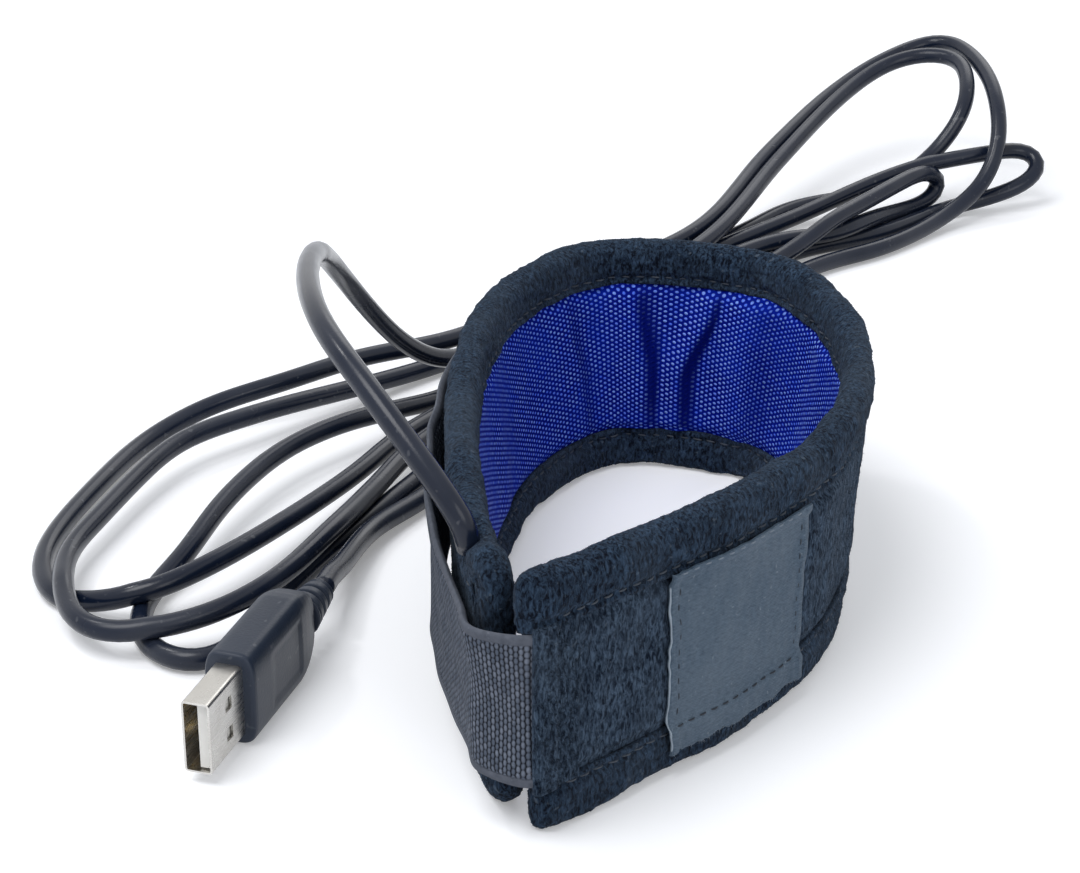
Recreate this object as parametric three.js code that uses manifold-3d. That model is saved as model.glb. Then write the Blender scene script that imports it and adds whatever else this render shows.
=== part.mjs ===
// Telescope dew heater strip: a padded, lined band that is wrapped round a lens tube, held
// shut by an elastic strap and warmed by a wire fed from a lead with a USB plug.
// Millimetres, +Z up. The band stands on its long edge, with its open loop seen from above.
import * as THREE from 'three';
import { mergeVertices } from 'three/addons/utils/BufferGeometryUtils.js';
import Module from 'manifold-3d';

const wasm = await Module();
wasm.setup();

// Band
const loopWidth = 63.4; // across the loop, between the walls' middles
const loopDepth = 124.8; // front corner to back wall, between the walls' middles
const bandHeight = 42;
const backFlare = 6; // how far the back wall's top leans out past its foot
const entryFlare = 2.5; // the same at the end where the lead comes in
const entrySlant = 2; // how much longer that end is at its top than at its foot
const bandSteps = 60;

// Layers, from the tube outwards; clearance is what two pieces that touch keep between them
const clearance = 0.3;
const liningThickness = 0.6;
const wireDiameter = 0.9;
const carrierThickness = 0.4;
const paddingThickness = 0.5;
const fabricThickness = 1;

// Bindings folded over both long edges
const bindingThickness = 0.8;
const bindingOuterLeg = 8.5;
const bindingInnerLeg = 7.5;
const rimPinch = 0.6; // how far the binding squeezes the layers together, each side
const stepHeight = 1.6; // height over which a layer swells from the pinch to its full place

// Creases of the slack lining at the back of the loop
const creaseDepth = 2.6;
const creaseWidth = 7;
const creasePlaces = [0.43, 0.49, 0.37]; // shares of the band's length
const creaseSizes = [1, 0.8, 0.5];

// Heater
const heaterEndMargin = 13;
const heaterRunSpacing = 12;
const heaterSteps = 116;
const leadSpace = 26; // stretch beside the lead's entry that is left free of padding
const sleeveDiameter = 2;
const sleeveLength = 7;
const sleeveFromPadding = 4;
const coreWireDiameter = 0.6;

// Label, strap and hook patch
const labelWidth = 31.2;
const labelHeight = 30;
const labelThickness = 0.6;
const labelStart = 22.5; // from the front panel's end
const strapWidth = 25;
const strapThickness = 1.2;
const strapTuck = 8; // length sewn in between the front panel's layers
const strapReach = 108; // along the band, from the lead's end of it to the strap's free end
const strapSteps = 50;
const hookPatchLength = 34;
const hookPatchThickness = 1.4;
const hookPatchInset = 2;
const hemWidth = 5;
const hemThickness = 0.8;
const endCornerRadius = 5;

// Lead
const cordDiameter = 3.7;
const cordSides = 8;
const entryFromEnd = 10; // along the band, from the lead's end of it
const entryOut = 1.5; // from the middle of the rim towards its outer side
const archSteps = 46;
const plugLeadSteps = 6;
const hankLayers = 2; // turns that lie on one another

// Plug
const shellWidth = 12;
const shellDepth = 4.5;
const shellWall = 0.35;
const shellCorner = 0.6;
const shellOut = 12; // what stands out of the moulding
const shellSeat = 5;
const windowSize = 2.2;
const windowSpacing = 5;
const windowFromMouth = 5.6;
const tongueThickness = 1.6;
const tongueRecess = 0.8;
const contactWidth = 1;
const contactThickness = 0.25;
const contactGap = 0.1;
const contactPitch = 2.33;
const contactLength = 7;
const mouldWidth = 15.6;
const mouldDepth = 8.4;
const mouldLength = 27;
const reliefLength = 8.6;
const reliefRings = 3;
const plugNose = new THREE.Vector3(-70.8, -56.1, mouldWidth / 2);
const plugYaw = -0.313;

// Lead's route from the rim over its free arch down to the hank, and from the hank to the plug
const archRoute = [
  [-44.7, -44, 58.5],
  [-51.5, -32, 62.4],
  [-56.3, -8, 60.8],
  [-57.6, 27, 52.6],
  [-55.6, 54, 37],
  [-52, 65, 26.5],
  [-46.6, 73.4, 16.4],
  [-40, 81, 9.4],
];
const plugRoute = [
  [-51.8, 11, 4.2],
  [-53.4, 5, 4.8],
  [-54.9, -3, 6.6],
  [-55.75, -9.85, 7.8],
];

// Outer shapes of the lead's turns, anticlockwise: those on the ground seen from above, and
// the springy ones in their own slanting plane
const hankOutline = [
  [-107, 24], [-107.5, 5], [-102, -9], [-92, -21.5], [-80, -26.5], [-70, -25], [-61, -4],
  [-55.5, 10], [-46, 19], [-37, 42], [-26, 68], [4, 98], [44, 143], [66, 165], [84, 181],
  [101, 192], [100, 202], [72, 198], [28, 178], [-4, 146], [-36, 112], [-66, 88], [-92, 66],
];
const hankOpening = [[-92, 16], [-88, -8], [-79, -14], [-66, 10], [-55, 38], [-60, 52], [-78, 42]];
const raisedOutline = [
  [-2, 5], [-2, -40], [-2, -80], [12, -91], [34, -97], [54, -96], [57, -78], [46, -52], [24, -24],
];
const raisedOpening = [
  [5, -36], [6, -60], [12, -76], [28, -84], [42, -86], [45, -76], [34, -54], [10, -26],
];
const raisedFoot = new THREE.Vector3(14, 154, 9.3);
const raisedHeading = 2; // radians from +X to the way that plane rises
const raisedTilt = 0.4;

const colours = {
  velour: { color: 0x1b222e, roughness: 0.95, metalness: 0 },
  nylon: { color: 0x1430b8, roughness: 0.6, metalness: 0 },
  felt: { color: 0xb9b6ac, roughness: 0.95, metalness: 0 },
  elastic: { color: 0x2a2f36, roughness: 0.85, metalness: 0 },
  satin: { color: 0x28333d, roughness: 0.6, metalness: 0 },
  hooks: { color: 0x14161a, roughness: 0.7, metalness: 0 },
  cord: { color: 0x14171c, roughness: 0.4, metalness: 0 },
  steel: { color: 0xc3c1bb, roughness: 0.3, metalness: 1 },
  insulator: { color: 0xe8e6e0, roughness: 0.5, metalness: 0 },
  gilt: { color: 0xd2a94c, roughness: 0.3, metalness: 1 },
  copper: { color: 0xb5673a, roughness: 0.4, metalness: 1 },
};

const part = new THREE.Group();
const band = new THREE.Group();
const cord = new THREE.Group();
part.add(band, cord);

function add(name, geometry, look, parent) {
  const mesh = new THREE.Mesh(geometry, new THREE.MeshStandardMaterial(look));
  mesh.name = name;
  parent.add(mesh);
  return mesh;
}

// The loop's plan, as shares of its half width and half depth, from the front panel's end
// round the back to the end where the lead comes in.
const planShares = [
  [-0.63, -1.08], [-0.41, -0.985], [-0.11, -0.845], [0.19, -0.71], [0.44, -0.56], [0.68, -0.385],
  [0.86, -0.16], [0.955, 0.08], [0.962, 0.32], [0.885, 0.56], [0.68, 0.785], [0.4, 0.875],
  [0.06, 0.92], [-0.22, 0.92], [-0.44, 0.85], [-0.69, 0.68], [-0.85, 0.48], [-0.94, 0.24],
  [-0.985, 0], [-1, -0.24], [-0.99, -0.48], [-0.95, -0.68], [-0.88, -0.895], [-0.782, -1.043],
];
const plan = new THREE.CatmullRomCurve3(
  planShares.map(([x, y]) => new THREE.Vector3(x * loopWidth / 2, y * loopDepth / 2, 0)),
  false,
  'centripetal',
);
plan.arcLengthDivisions = 600;
const bandLength = plan.getLength();

// Point of the band at s along it, n out from the middle of its wall and z above the ground.
function onBand(s, n, z) {
  const inside = THREE.MathUtils.clamp(s, 0, bandLength);
  const point = plan.getPointAt(inside / bandLength);
  const along = plan.getTangentAt(inside / bandLength);
  const height = z / bandHeight - 0.5;
  const nearEntry = THREE.MathUtils.smoothstep(s, bandLength - 30, bandLength - 5);
  const lean = backFlare * THREE.MathUtils.smoothstep(point.y, -loopDepth / 2, loopDepth / 2)
    + entryFlare * nearEntry;
  const out = n + lean * height;
  const past = s - inside + entrySlant * nearEntry * height;
  return new THREE.Vector3(
    point.x + along.x * past + along.y * out,
    point.y + along.y * past - along.x * out,
    z,
  );
}

// Closed solid from rings of equally many points, the first ring facing the viewer
// anticlockwise and the last one closed by the same triangles turned round.
function loft(rings, cap) {
  const size = rings[0].length;
  const positions = rings.flat().flatMap((p) => [p.x, p.y, p.z]);
  const faces = [];
  for (let ring = 0; ring < rings.length - 1; ring += 1) {
    for (let k = 0; k < size; k += 1) {
      const a = ring * size + k;
      const b = ring * size + ((k + 1) % size);
      faces.push(a, a + size, b, b, a + size, b + size);
    }
  }
  const last = (rings.length - 1) * size;
  for (const [a, b, c] of THREE.ShapeUtils.triangulateShape(cap, [])) {
    faces.push(a, b, c, last + c, last + b, last + a);
  }
  const geometry = new THREE.BufferGeometry();
  geometry.setAttribute('position', new THREE.Float32BufferAttribute(positions, 3));
  geometry.setIndex(faces);
  return geometry;
}

// Sweeps a section of (n, z) points, anticlockwise, along the band from one place to another.
// Every layer turns at the same stations, so that they stay nested on the curves.
function sweep(sectionAt, from, to) {
  const spacing = bandLength / bandSteps;
  const between = Array.from({ length: bandSteps - 1 }, (_, k) => (k + 1) * spacing)
    .filter((s) => s > from + spacing / 10 && s < to - spacing / 10);
  const rings = [from, ...between, to].map((s) => sectionAt(s).map((p) => onBand(s, p.x, p.y)));
  return loft(rings, sectionAt(from));
}

const section = (pairs) => pairs.map(([n, z]) => new THREE.Vector2(n, z));

function toSolid(geometry) {
  const bare = new THREE.BufferGeometry();
  bare.setAttribute('position', geometry.getAttribute('position'));
  bare.setIndex(geometry.getIndex());
  const merged = mergeVertices(bare, 1e-5);
  return new wasm.Manifold(new wasm.Mesh({
    numProp: 3,
    vertProperties: new Float32Array(merged.getAttribute('position').array),
    triVerts: new Uint32Array(merged.getIndex().array),
  }));
}

function fromSolid(solid) {
  const mesh = solid.getMesh();
  const geometry = new THREE.BufferGeometry();
  geometry.setAttribute('position', new THREE.BufferAttribute(mesh.vertProperties, 3));
  geometry.setIndex(new THREE.BufferAttribute(mesh.triVerts, 1));
  return geometry;
}

function cut(geometry, tools) {
  return fromSolid(tools.reduce((solid, tool) => solid.subtract(toSolid(tool)), toSolid(geometry)));
}

function circle(radius, sides) {
  const shape = new THREE.Shape();
  for (let k = 0; k < sides; k += 1) {
    const angle = 2 * Math.PI * k / sides;
    shape[k ? 'lineTo' : 'moveTo'](radius * Math.cos(angle), radius * Math.sin(angle));
  }
  return shape;
}

function tube(points, diameter, sides, steps) {
  const path = new THREE.CatmullRomCurve3(points, false, 'centripetal');
  return new THREE.ExtrudeGeometry(circle(diameter / 2, sides), { steps, extrudePath: path });
}

const routePoints = (route) => route.map(([x, y, z]) => new THREE.Vector3(x, y, z));

// Places across the wall, from its lining to its outer face
const stack = liningThickness + wireDiameter + carrierThickness + paddingThickness + fabricThickness
  + 4 * clearance;
const liningInner = -stack / 2;
const liningOuter = liningInner + liningThickness;
const wirePlace = liningOuter + clearance + wireDiameter / 2;
const carrierInner = wirePlace + wireDiameter / 2 + clearance;
const carrierOuter = carrierInner + carrierThickness;
const paddingInner = carrierOuter + clearance;
const paddingOuter = paddingInner + paddingThickness;
const fabricInner = paddingOuter + clearance;
const fabricOuter = fabricInner + fabricThickness;
const bindingOuter = fabricOuter - rimPinch + clearance + bindingThickness;
const bindingInner = liningInner + rimPinch - clearance - bindingThickness;
const rimRadius = (bindingOuter - bindingInner) / 2;
const rimMiddle = (bindingOuter + bindingInner) / 2;
const layerEdge = rimRadius + 0.2; // how far below the rim's crown the layers stop

// A layer's section: pinched under the bindings and at its full place between them. Towards
// the lead's end of the band it is pinched all the way up and follows the rounded corners.
function layerSection(inner, outer, pinch, s, slack = 0) {
  const toEnd = bandLength - s;
  const corner = endCornerRadius - layerEdge;
  const round = Math.max(0, endCornerRadius - toEnd);
  const low = endCornerRadius - Math.sqrt(Math.max(0, corner * corner - round * round));
  const foot = bindingOuterLeg + clearance;
  const full = THREE.MathUtils.smoothstep(toEnd, foot, foot + stepHeight);
  const squeeze = pinch * (1 - full);
  const swell = slack * full;
  const middle = bandHeight / 2;
  const lower = [[inner + pinch, low], [outer + pinch, low], [outer + pinch, foot]];
  const upper = [[outer + pinch, bandHeight - foot], [outer + pinch, bandHeight - low]];
  return section([
    ...lower,
    [outer + squeeze, foot + stepHeight],
    [outer + squeeze - swell, middle],
    [outer + squeeze, bandHeight - foot - stepHeight],
    ...upper,
    [inner + pinch, bandHeight - low],
    [inner + pinch, bandHeight - foot],
    [inner + squeeze, bandHeight - foot - stepHeight],
    [inner + squeeze - swell, middle],
    [inner + squeeze, foot + stepHeight],
    [inner + pinch, foot],
  ]);
}

// How far the slack lining stands away from the padding at s: a few rounded ridges.
function creaseAt(s) {
  return creasePlaces.reduce((sum, place, k) => {
    const away = (s - place * bandLength) / creaseWidth;
    return sum + creaseDepth * creaseSizes[k] * Math.exp(-away * away);
  }, 0);
}

function bandLayers() {
  const last = bandLength - layerEdge;
  const fabricAt = (s) => layerSection(fabricInner, fabricOuter, -rimPinch, s);
  add('outer_fabric', sweep(fabricAt, 0, last), colours.velour, band);
  const liningAt = (s) => layerSection(liningInner, liningOuter, rimPinch, s, creaseAt(s));
  add('lining', sweep(liningAt, 0, last), colours.nylon, band);
  add('insulation_pad', flatLayer(paddingInner, paddingOuter), colours.felt, band);
  add('heater_carrier', flatLayer(carrierInner, carrierOuter), colours.felt, band);
}

function flatLayer(inner, outer) {
  const low = bindingOuterLeg + clearance + stepHeight;
  const high = bandHeight - low;
  const flat = section([[inner, low], [outer, low], [outer, high], [inner, high]]);
  return sweep(() => flat, heaterEndMargin, bandLength - leadSpace);
}

// Outline of a folded tape across the wall, as (n, depth below the edge that it covers).
function tapeSection(outerLeg, innerLeg) {
  const arc = (radius, from, to, count) => Array.from({ length: count + 1 }, (_, k) => {
    const angle = from + (to - from) * k / count;
    return [rimMiddle + radius * Math.cos(angle), rimRadius - radius * Math.sin(angle)];
  });
  return [
    [bindingOuter, outerLeg],
    ...arc(rimRadius, 0, Math.PI, 6),
    [bindingInner, innerLeg],
    [bindingInner + bindingThickness, innerLeg],
    ...arc(rimRadius - bindingThickness, Math.PI, 0, 3),
    [bindingOuter - bindingThickness, outerLeg],
  ];
}

function bindings() {
  const tape = tapeSection(bindingOuterLeg, bindingInnerLeg);
  const last = bandLength - endCornerRadius - clearance;
  const rim = sweep(() => section(tape.map(([n, depth]) => [n, bandHeight - depth])), 0, last);
  const hole = new THREE.CylinderGeometry(
    cordDiameter / 2 + clearance,
    cordDiameter / 2 + clearance,
    2 * rimRadius,
    12,
  );
  hole.rotateX(Math.PI / 2);
  const entry = onBand(bandLength - entryFromEnd, rimMiddle + entryOut, bandHeight);
  hole.translate(entry.x, entry.y, entry.z);
  add('top_binding', cut(rim, [hole]), colours.velour, band);

  // The lower one is pressed level where the band stands on it.
  const level = rimRadius * 0.15;
  const foot = tape.map(([n, depth]) => [n, depth < level ? 0 : depth]).reverse();
  add('bottom_binding', sweep(() => section(foot), 0, last), colours.velour, band);
}

// The same tape taken round the lead's end of the band, with a rounded corner above and below.
function endBinding() {
  const radius = endCornerRadius;
  const leg = radius - clearance;
  const tape = tapeSection(leg, leg).reverse();
  const ring = (s, z, inS, inZ) => tape.map(([n, depth]) => onBand(s + inS * depth, n, z + inZ * depth));
  const turn = (centreZ, from, to) => Array.from({ length: 6 }, (_, k) => {
    const angle = from + (to - from) * k / 5;
    const s = bandLength - radius + radius * Math.cos(angle);
    return ring(s, centreZ + radius * Math.sin(angle), -Math.cos(angle), -Math.sin(angle));
  });
  const rings = [
    ...turn(radius, -Math.PI / 2, 0),
    ...turn(bandHeight - radius, 0, Math.PI / 2),
  ];
  const cap = section(tape);
  add('cable_end_binding', loft(rings, cap), colours.velour, band);
}

// Hem that covers the raw end of the outer fabric on the front panel.
function frontHem() {
  const inner = fabricOuter + clearance;
  const outer = inner + hemThickness;
  const low = bindingOuterLeg + clearance;
  const outline = [
    [-clearance, fabricInner], [-clearance, inner], [hemWidth, inner], [hemWidth, outer],
    [-clearance - hemThickness, outer], [-clearance - hemThickness, fabricInner],
  ];
  const ring = (z) => outline.map(([s, n]) => onBand(s, n, z));
  const cap = section(outline);
  add('front_end_hem', loft([ring(low), ring(bandHeight - low)], cap), colours.velour, band);
}

function label() {
  const inner = bindingOuter + clearance;
  const top = bandHeight - bindingOuterLeg - clearance;
  const low = top - labelHeight;
  const outline = section([
    [inner, low], [inner + labelThickness, low], [inner + labelThickness, top], [inner, top],
  ]);
  const geometry = sweep(() => outline, labelStart, labelStart + labelWidth);
  add('label_patch', geometry, colours.satin, band);
}

// The strap leaves the front panel between its layers, swings round the lead's end of the
// band and lies along its outside, over the hook patch that holds its free end.
function strap() {
  const pocket = (liningOuter + fabricInner) / 2;
  const over = fabricOuter + clearance;
  const onPatch = over + hookPatchThickness + clearance + strapThickness / 2;
  const free = bandLength - strapReach;
  const swing = [
    [strapTuck, pocket], [0.5, pocket], [-2.6, pocket + 1.1],
    [bandLength + 0.5, 5.6], [bandLength - 6, onPatch], [bandLength - 15, onPatch + 0.1],
    [bandLength - 26, onPatch + 0.4],
  ];
  const flat = Array.from({ length: 11 }, (_, k) => [bandLength - 40 - (strapReach - 40) * k / 10, onPatch]);
  const stations = [...swing, ...flat];
  const edge = (z) => new THREE.CatmullRomCurve3(
    stations.map(([s, n]) => onBand(s, n, z)),
    false,
    'centripetal',
  );
  const low = (bandHeight - strapWidth) / 2;
  const curves = [edge(low), edge(bandHeight - low)];
  const rings = Array.from({ length: strapSteps + 1 }, (_, k) => {
    const at = k / strapSteps;
    const sides = curves.map((curve) => {
      const along = curve.getTangent(at);
      const across = new THREE.Vector3(along.y, -along.x, 0).setLength(strapThickness / 2);
      return [curve.getPoint(at).sub(across), curve.getPoint(at).add(across)];
    });
    return [sides[0][0], sides[0][1], sides[1][1], sides[1][0]];
  });
  const half = strapThickness / 2;
  const cap = section([[-half, low], [half, low], [half, bandHeight - low], [-half, bandHeight - low]]);
  add('elastic_strap', loft(rings, cap), colours.elastic, band);

  const patchLow = low + hookPatchInset;
  const outline = section([
    [over, patchLow], [over + hookPatchThickness, patchLow],
    [over + hookPatchThickness, bandHeight - patchLow], [over, bandHeight - patchLow],
  ]);
  const patchStart = free + hookPatchInset;
  add('hook_patch', sweep(() => outline, patchStart, patchStart + hookPatchLength), colours.hooks, band);
}

// The heating wire runs out along the upper part of the band and back along the lower, and
// both ends are spliced to the lead's cores beside the place where the lead comes in.
function heater() {
  const end = bandLength - leadSpace;
  const middle = bandHeight / 2;
  const rise = heaterRunSpacing / 2;
  const spliceDepth = (liningOuter + fabricInner) / 2;
  const spliceStart = end + sleeveFromPadding;
  const turn = heaterEndMargin + rise;
  const runs = Array.from({ length: 49 }, (_, k) => turn + (end - 1 - turn) * k / 48);
  const bend = [-60, -30, 0, 30, 60].map((degrees) => THREE.MathUtils.degToRad(degrees));
  const wire = [
    onBand(spliceStart - clearance, spliceDepth, middle + rise),
    ...runs.slice().reverse().map((s) => onBand(s, wirePlace, middle + rise)),
    ...bend.slice().reverse().map((angle) => onBand(
      turn - rise * Math.cos(angle),
      wirePlace,
      middle + rise * Math.sin(angle),
    )),
    ...runs.map((s) => onBand(s, wirePlace, middle - rise)),
    onBand(spliceStart - clearance, spliceDepth, middle - rise),
  ];
  add('heater_wire', tube(wire, wireDiameter, 6, heaterSteps), colours.copper, band);

  const gate = bandLength - entryFromEnd;
  [1, -1].forEach((side, k) => {
    const z = middle + side * rise;
    const from = onBand(spliceStart, spliceDepth, z);
    const to = onBand(spliceStart + sleeveLength, spliceDepth, z);
    const sleeve = tube([from, to], sleeveDiameter, 8, 1);
    add(`splice_sleeve_${k + 1}`, sleeve, colours.hooks, band);
    const core = [
      onBand(spliceStart + sleeveLength + clearance, spliceDepth, z),
      onBand(gate - 3 + side, spliceDepth, z + 1.5),
      onBand(gate - side, spliceDepth, z + 6),
      onBand(gate - side, spliceDepth, bandHeight - layerEdge - 4),
      onBand(gate - side * 0.8, spliceDepth * 0.5, bandHeight - layerEdge + 0.3),
    ];
    add(`lead_core_${k + 1}`, tube(core, coreWireDiameter, 6, 14), colours.copper, band);
  });
}

// Shape whose outline and opening are smooth closed curves through a few points each.
function roundShape(points, opening) {
  const outline = (list) => {
    const curve = new THREE.CatmullRomCurve3(list.map(([x, y]) => new THREE.Vector3(x, y, 0)), true);
    return curve.getPoints(2 * list.length).slice(0, -1).map((p) => new THREE.Vector2(p.x, p.y));
  };
  const shape = new THREE.Shape(outline(points));
  shape.holes.push(new THREE.Path(outline(opening)));
  return shape;
}

function lead() {
  const entry = onBand(bandLength - entryFromEnd, rimMiddle + entryOut, bandHeight - layerEdge + 0.9);
  const above = onBand(bandLength - entryFromEnd, rimMiddle + entryOut + 1, bandHeight + 2.4);
  const arch = [entry, above, ...routePoints(archRoute)];
  add('cable', tube(arch, cordDiameter, cordSides, archSteps), colours.cord, cord);
  add('cable_plug_end', tube(routePoints(plugRoute), cordDiameter, cordSides, plugLeadSteps), colours.cord, cord);

  const onGround = new THREE.ExtrudeGeometry(
    roundShape(hankOutline, hankOpening),
    { depth: hankLayers * cordDiameter, bevelEnabled: false },
  );
  add('cable_hank', onGround, colours.cord, cord);
  const springy = new THREE.ExtrudeGeometry(
    roundShape(raisedOutline, raisedOpening),
    { depth: cordDiameter, bevelEnabled: false },
  );
  const raised = add('cable_raised_turns', springy, colours.cord, cord);
  raised.position.copy(raisedFoot);
  raised.rotation.set(0, -raisedTilt, raisedHeading, 'ZYX');
}

function roundedBox(width, height, radius, Kind = THREE.Shape) {
  const outline = new Kind();
  const x = width / 2 - radius;
  const y = height / 2 - radius;
  outline.absarc(x, -y, radius, -Math.PI / 2, 0);
  outline.absarc(x, y, radius, 0, Math.PI / 2);
  outline.absarc(-x, y, radius, Math.PI / 2, Math.PI);
  outline.absarc(-x, -y, radius, Math.PI, 1.5 * Math.PI);
  return outline;
}

// Extrudes a shape drawn across the plug from one distance behind its mouth to another.
function alongPlug(shape, from, to, curveSegments = 3) {
  const geometry = new THREE.ExtrudeGeometry(shape, { depth: to - from, bevelEnabled: false, curveSegments });
  geometry.rotateX(Math.PI / 2);
  geometry.translate(0, to, 0);
  return geometry;
}

function box(xSize, ySize, zSize, x, y, z) {
  const geometry = new THREE.BoxGeometry(xSize, ySize, zSize);
  geometry.deleteAttribute('normal');
  geometry.deleteAttribute('uv');
  geometry.translate(x, y, z);
  return geometry;
}

// Plug, in its own axes: +Y from its mouth to its tail, X across its thin way, Z its wide way.
function plug() {
  const group = new THREE.Group();
  group.position.copy(plugNose);
  group.rotation.z = plugYaw;
  cord.add(group);

  const sleeve = roundedBox(shellDepth, shellWidth, shellCorner);
  sleeve.holes.push(roundedBox(
    shellDepth - 2 * shellWall,
    shellWidth - 2 * shellWall,
    shellCorner - shellWall,
    THREE.Path,
  ));
  const shell = alongPlug(sleeve, 0, shellOut + shellSeat);
  const windows = [-1, 1].map((side) => box(
    2 * shellDepth,
    windowSize,
    windowSize,
    0,
    windowFromMouth + windowSize / 2,
    side * windowSpacing / 2,
  ));
  shell.deleteAttribute('normal');
  shell.deleteAttribute('uv');
  add('plug_shell', cut(shell, windows), colours.steel, group);

  const tongueOuter = shellDepth / 2 - shellWall - clearance;
  const tongueFace = tongueOuter - tongueThickness;
  const tongueWidth = shellWidth - 2 * (shellWall + clearance);
  const tongueLength = shellOut + shellSeat - tongueRecess;
  const tongue = box(
    tongueThickness,
    tongueLength,
    tongueWidth,
    tongueOuter - tongueThickness / 2,
    tongueRecess + tongueLength / 2,
    0,
  );
  add('plug_tongue', tongue, colours.insulator, group);
  for (let k = 0; k < 4; k += 1) {
    const contact = box(
      contactThickness,
      contactLength,
      contactWidth,
      tongueFace - contactGap - contactThickness / 2,
      tongueRecess + 1 + contactLength / 2,
      (k - 1.5) * contactPitch,
    );
    add(`plug_contact_${k + 1}`, contact, colours.gilt, group);
  }

  // Moulded grip: share of its length, and how far its wide and thin ways are drawn in there
  const grip = [[0, 0.7, 0.6], [0.03, 0, 0], [0.7, 0, 0], [0.86, 1, 0.5], [1, 3.2, 1.3]];
  const rings = grip.map(([share, narrower, thinner]) => {
    const wide = mouldWidth - 2 * narrower;
    const thin = mouldDepth - 2 * thinner;
    const outline = roundedBox(thin, wide, thin / 2 - 0.2).getPoints(3);
    const y = shellOut + share * mouldLength;
    return outline.slice(0, -1).map((p) => new THREE.Vector3(p.x, y, p.y));
  });
  const cap = rings[0].map((p) => new THREE.Vector2(p.x, p.z));
  const pocket = box(
    shellDepth + 2 * clearance,
    shellSeat + clearance + 1,
    shellWidth + 2 * clearance,
    0,
    shellOut + (shellSeat + clearance - 1) / 2,
    0,
  );
  add('plug_overmould', cut(loft(rings, cap), [pocket]), colours.cord, group);

  const start = shellOut + mouldLength + clearance;
  const ringPitch = reliefLength / (reliefRings + 0.5);
  const profile = [new THREE.Vector2(0, start), new THREE.Vector2(cordDiameter * 0.75, start)];
  for (let k = 0; k < reliefRings; k += 1) {
    const from = start + (k + 0.4) * ringPitch;
    const core = cordDiameter * (0.72 - 0.04 * k);
    const crest = core + 0.7 - 0.1 * k;
    profile.push(new THREE.Vector2(core, from), new THREE.Vector2(crest, from + 0.1));
    profile.push(new THREE.Vector2(crest, from + 0.55 * ringPitch));
    profile.push(new THREE.Vector2(core, from + 0.55 * ringPitch + 0.1));
  }
  profile.push(new THREE.Vector2(cordDiameter * 0.58, start + reliefLength));
  profile.push(new THREE.Vector2(0, start + reliefLength));
  add('plug_strain_relief', new THREE.LatheGeometry(profile, 12), colours.cord, group);
}

bandLayers();
bindings();
endBinding();
frontHem();
label();
strap();
heater();
lead();
plug();

// The part's origin lies on the ground under the middle of the band's box.
const middle = new THREE.Box3().setFromObject(band).getCenter(new THREE.Vector3());
part.position.set(-middle.x, -middle.y, 0);

export default part;
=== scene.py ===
import math

import bpy
import numpy as np
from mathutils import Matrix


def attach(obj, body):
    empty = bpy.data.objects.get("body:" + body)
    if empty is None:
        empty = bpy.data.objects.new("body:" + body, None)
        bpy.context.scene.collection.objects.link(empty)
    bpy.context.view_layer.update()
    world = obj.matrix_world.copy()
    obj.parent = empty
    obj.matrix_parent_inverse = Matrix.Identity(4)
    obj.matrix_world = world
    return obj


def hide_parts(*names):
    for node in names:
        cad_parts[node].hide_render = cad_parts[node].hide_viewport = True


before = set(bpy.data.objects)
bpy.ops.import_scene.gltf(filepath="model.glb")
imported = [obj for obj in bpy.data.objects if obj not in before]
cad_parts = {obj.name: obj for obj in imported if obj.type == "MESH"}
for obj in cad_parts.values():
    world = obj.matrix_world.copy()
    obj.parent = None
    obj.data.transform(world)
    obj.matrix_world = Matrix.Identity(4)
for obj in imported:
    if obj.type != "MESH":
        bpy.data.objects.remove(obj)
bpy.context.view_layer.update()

metre = 0.001  # the shapes below are worked out in millimetres
print("frame loaded")

# Camera, floor and light
view = {
    "place": (-18.942, -385.666, 212.3),  # mm
    "pitch": 25.0,  # degrees below the horizon
    "lens": 87.917,  # mm on a 36 mm sensor
}
studio = {
    "floorSize": 6.0,  # metres
    "floorDrop": 0.0002,
    "floorColour": (0.86, 0.87, 0.9),
    "floorGlow": 0.25,  # what the floor adds for the camera, so that it is white far off
    "skyColour": (0.93, 0.96, 1.0),
    "ambient": 0.5,
    "softbox": {"place": (-0.35, -0.25, 0.95), "aim": (-0.01, 0.04, 0.02), "size": 0.6, "watts": 5.6},
    "fill": {"place": (0.55, -0.75, 0.55), "aim": (0, 0, 0.03), "size": 0.6, "watts": 1.6},
    "back": {"place": (0.25, 0.85, 0.6), "aim": (0, 0, 0.03), "size": 0.6, "watts": 1.3},
    "spark": {"place": (-0.5, 0.25, 0.8), "aim": (-0.02, 0.05, 0.03), "size": 0.12, "watts": 1.1},
}


def lookAt(thing, target):
    toTarget = np.array(target, float) - np.array(thing.location)
    flat = math.hypot(toTarget[0], toTarget[1])
    thing.rotation_euler = (math.atan2(flat, -toTarget[2]), 0, math.atan2(-toTarget[0], toTarget[1]))


def addLamp(name, setting):
    light = bpy.data.lights.new(name, "AREA")
    light.shape = "DISK"
    light.size = setting["size"]
    light.energy = setting["watts"]
    lamp = bpy.data.objects.new(name, light)
    lamp.location = setting["place"]
    lookAt(lamp, setting["aim"])
    bpy.context.scene.collection.objects.link(lamp)


def seenByEye(tree):  # 1 for camera rays and for what metal and glass mirror, else 0
    path = tree.nodes.new("ShaderNodeLightPath")
    seen = path.outputs["Is Camera Ray"]
    for kind in ("Is Glossy Ray", "Is Transmission Ray"):
        larger = tree.nodes.new("ShaderNodeMath")
        larger.operation = "MAXIMUM"
        tree.links.new(seen, larger.inputs[0])
        tree.links.new(path.outputs[kind], larger.inputs[1])
        seen = larger.outputs[0]
    return seen


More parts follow.
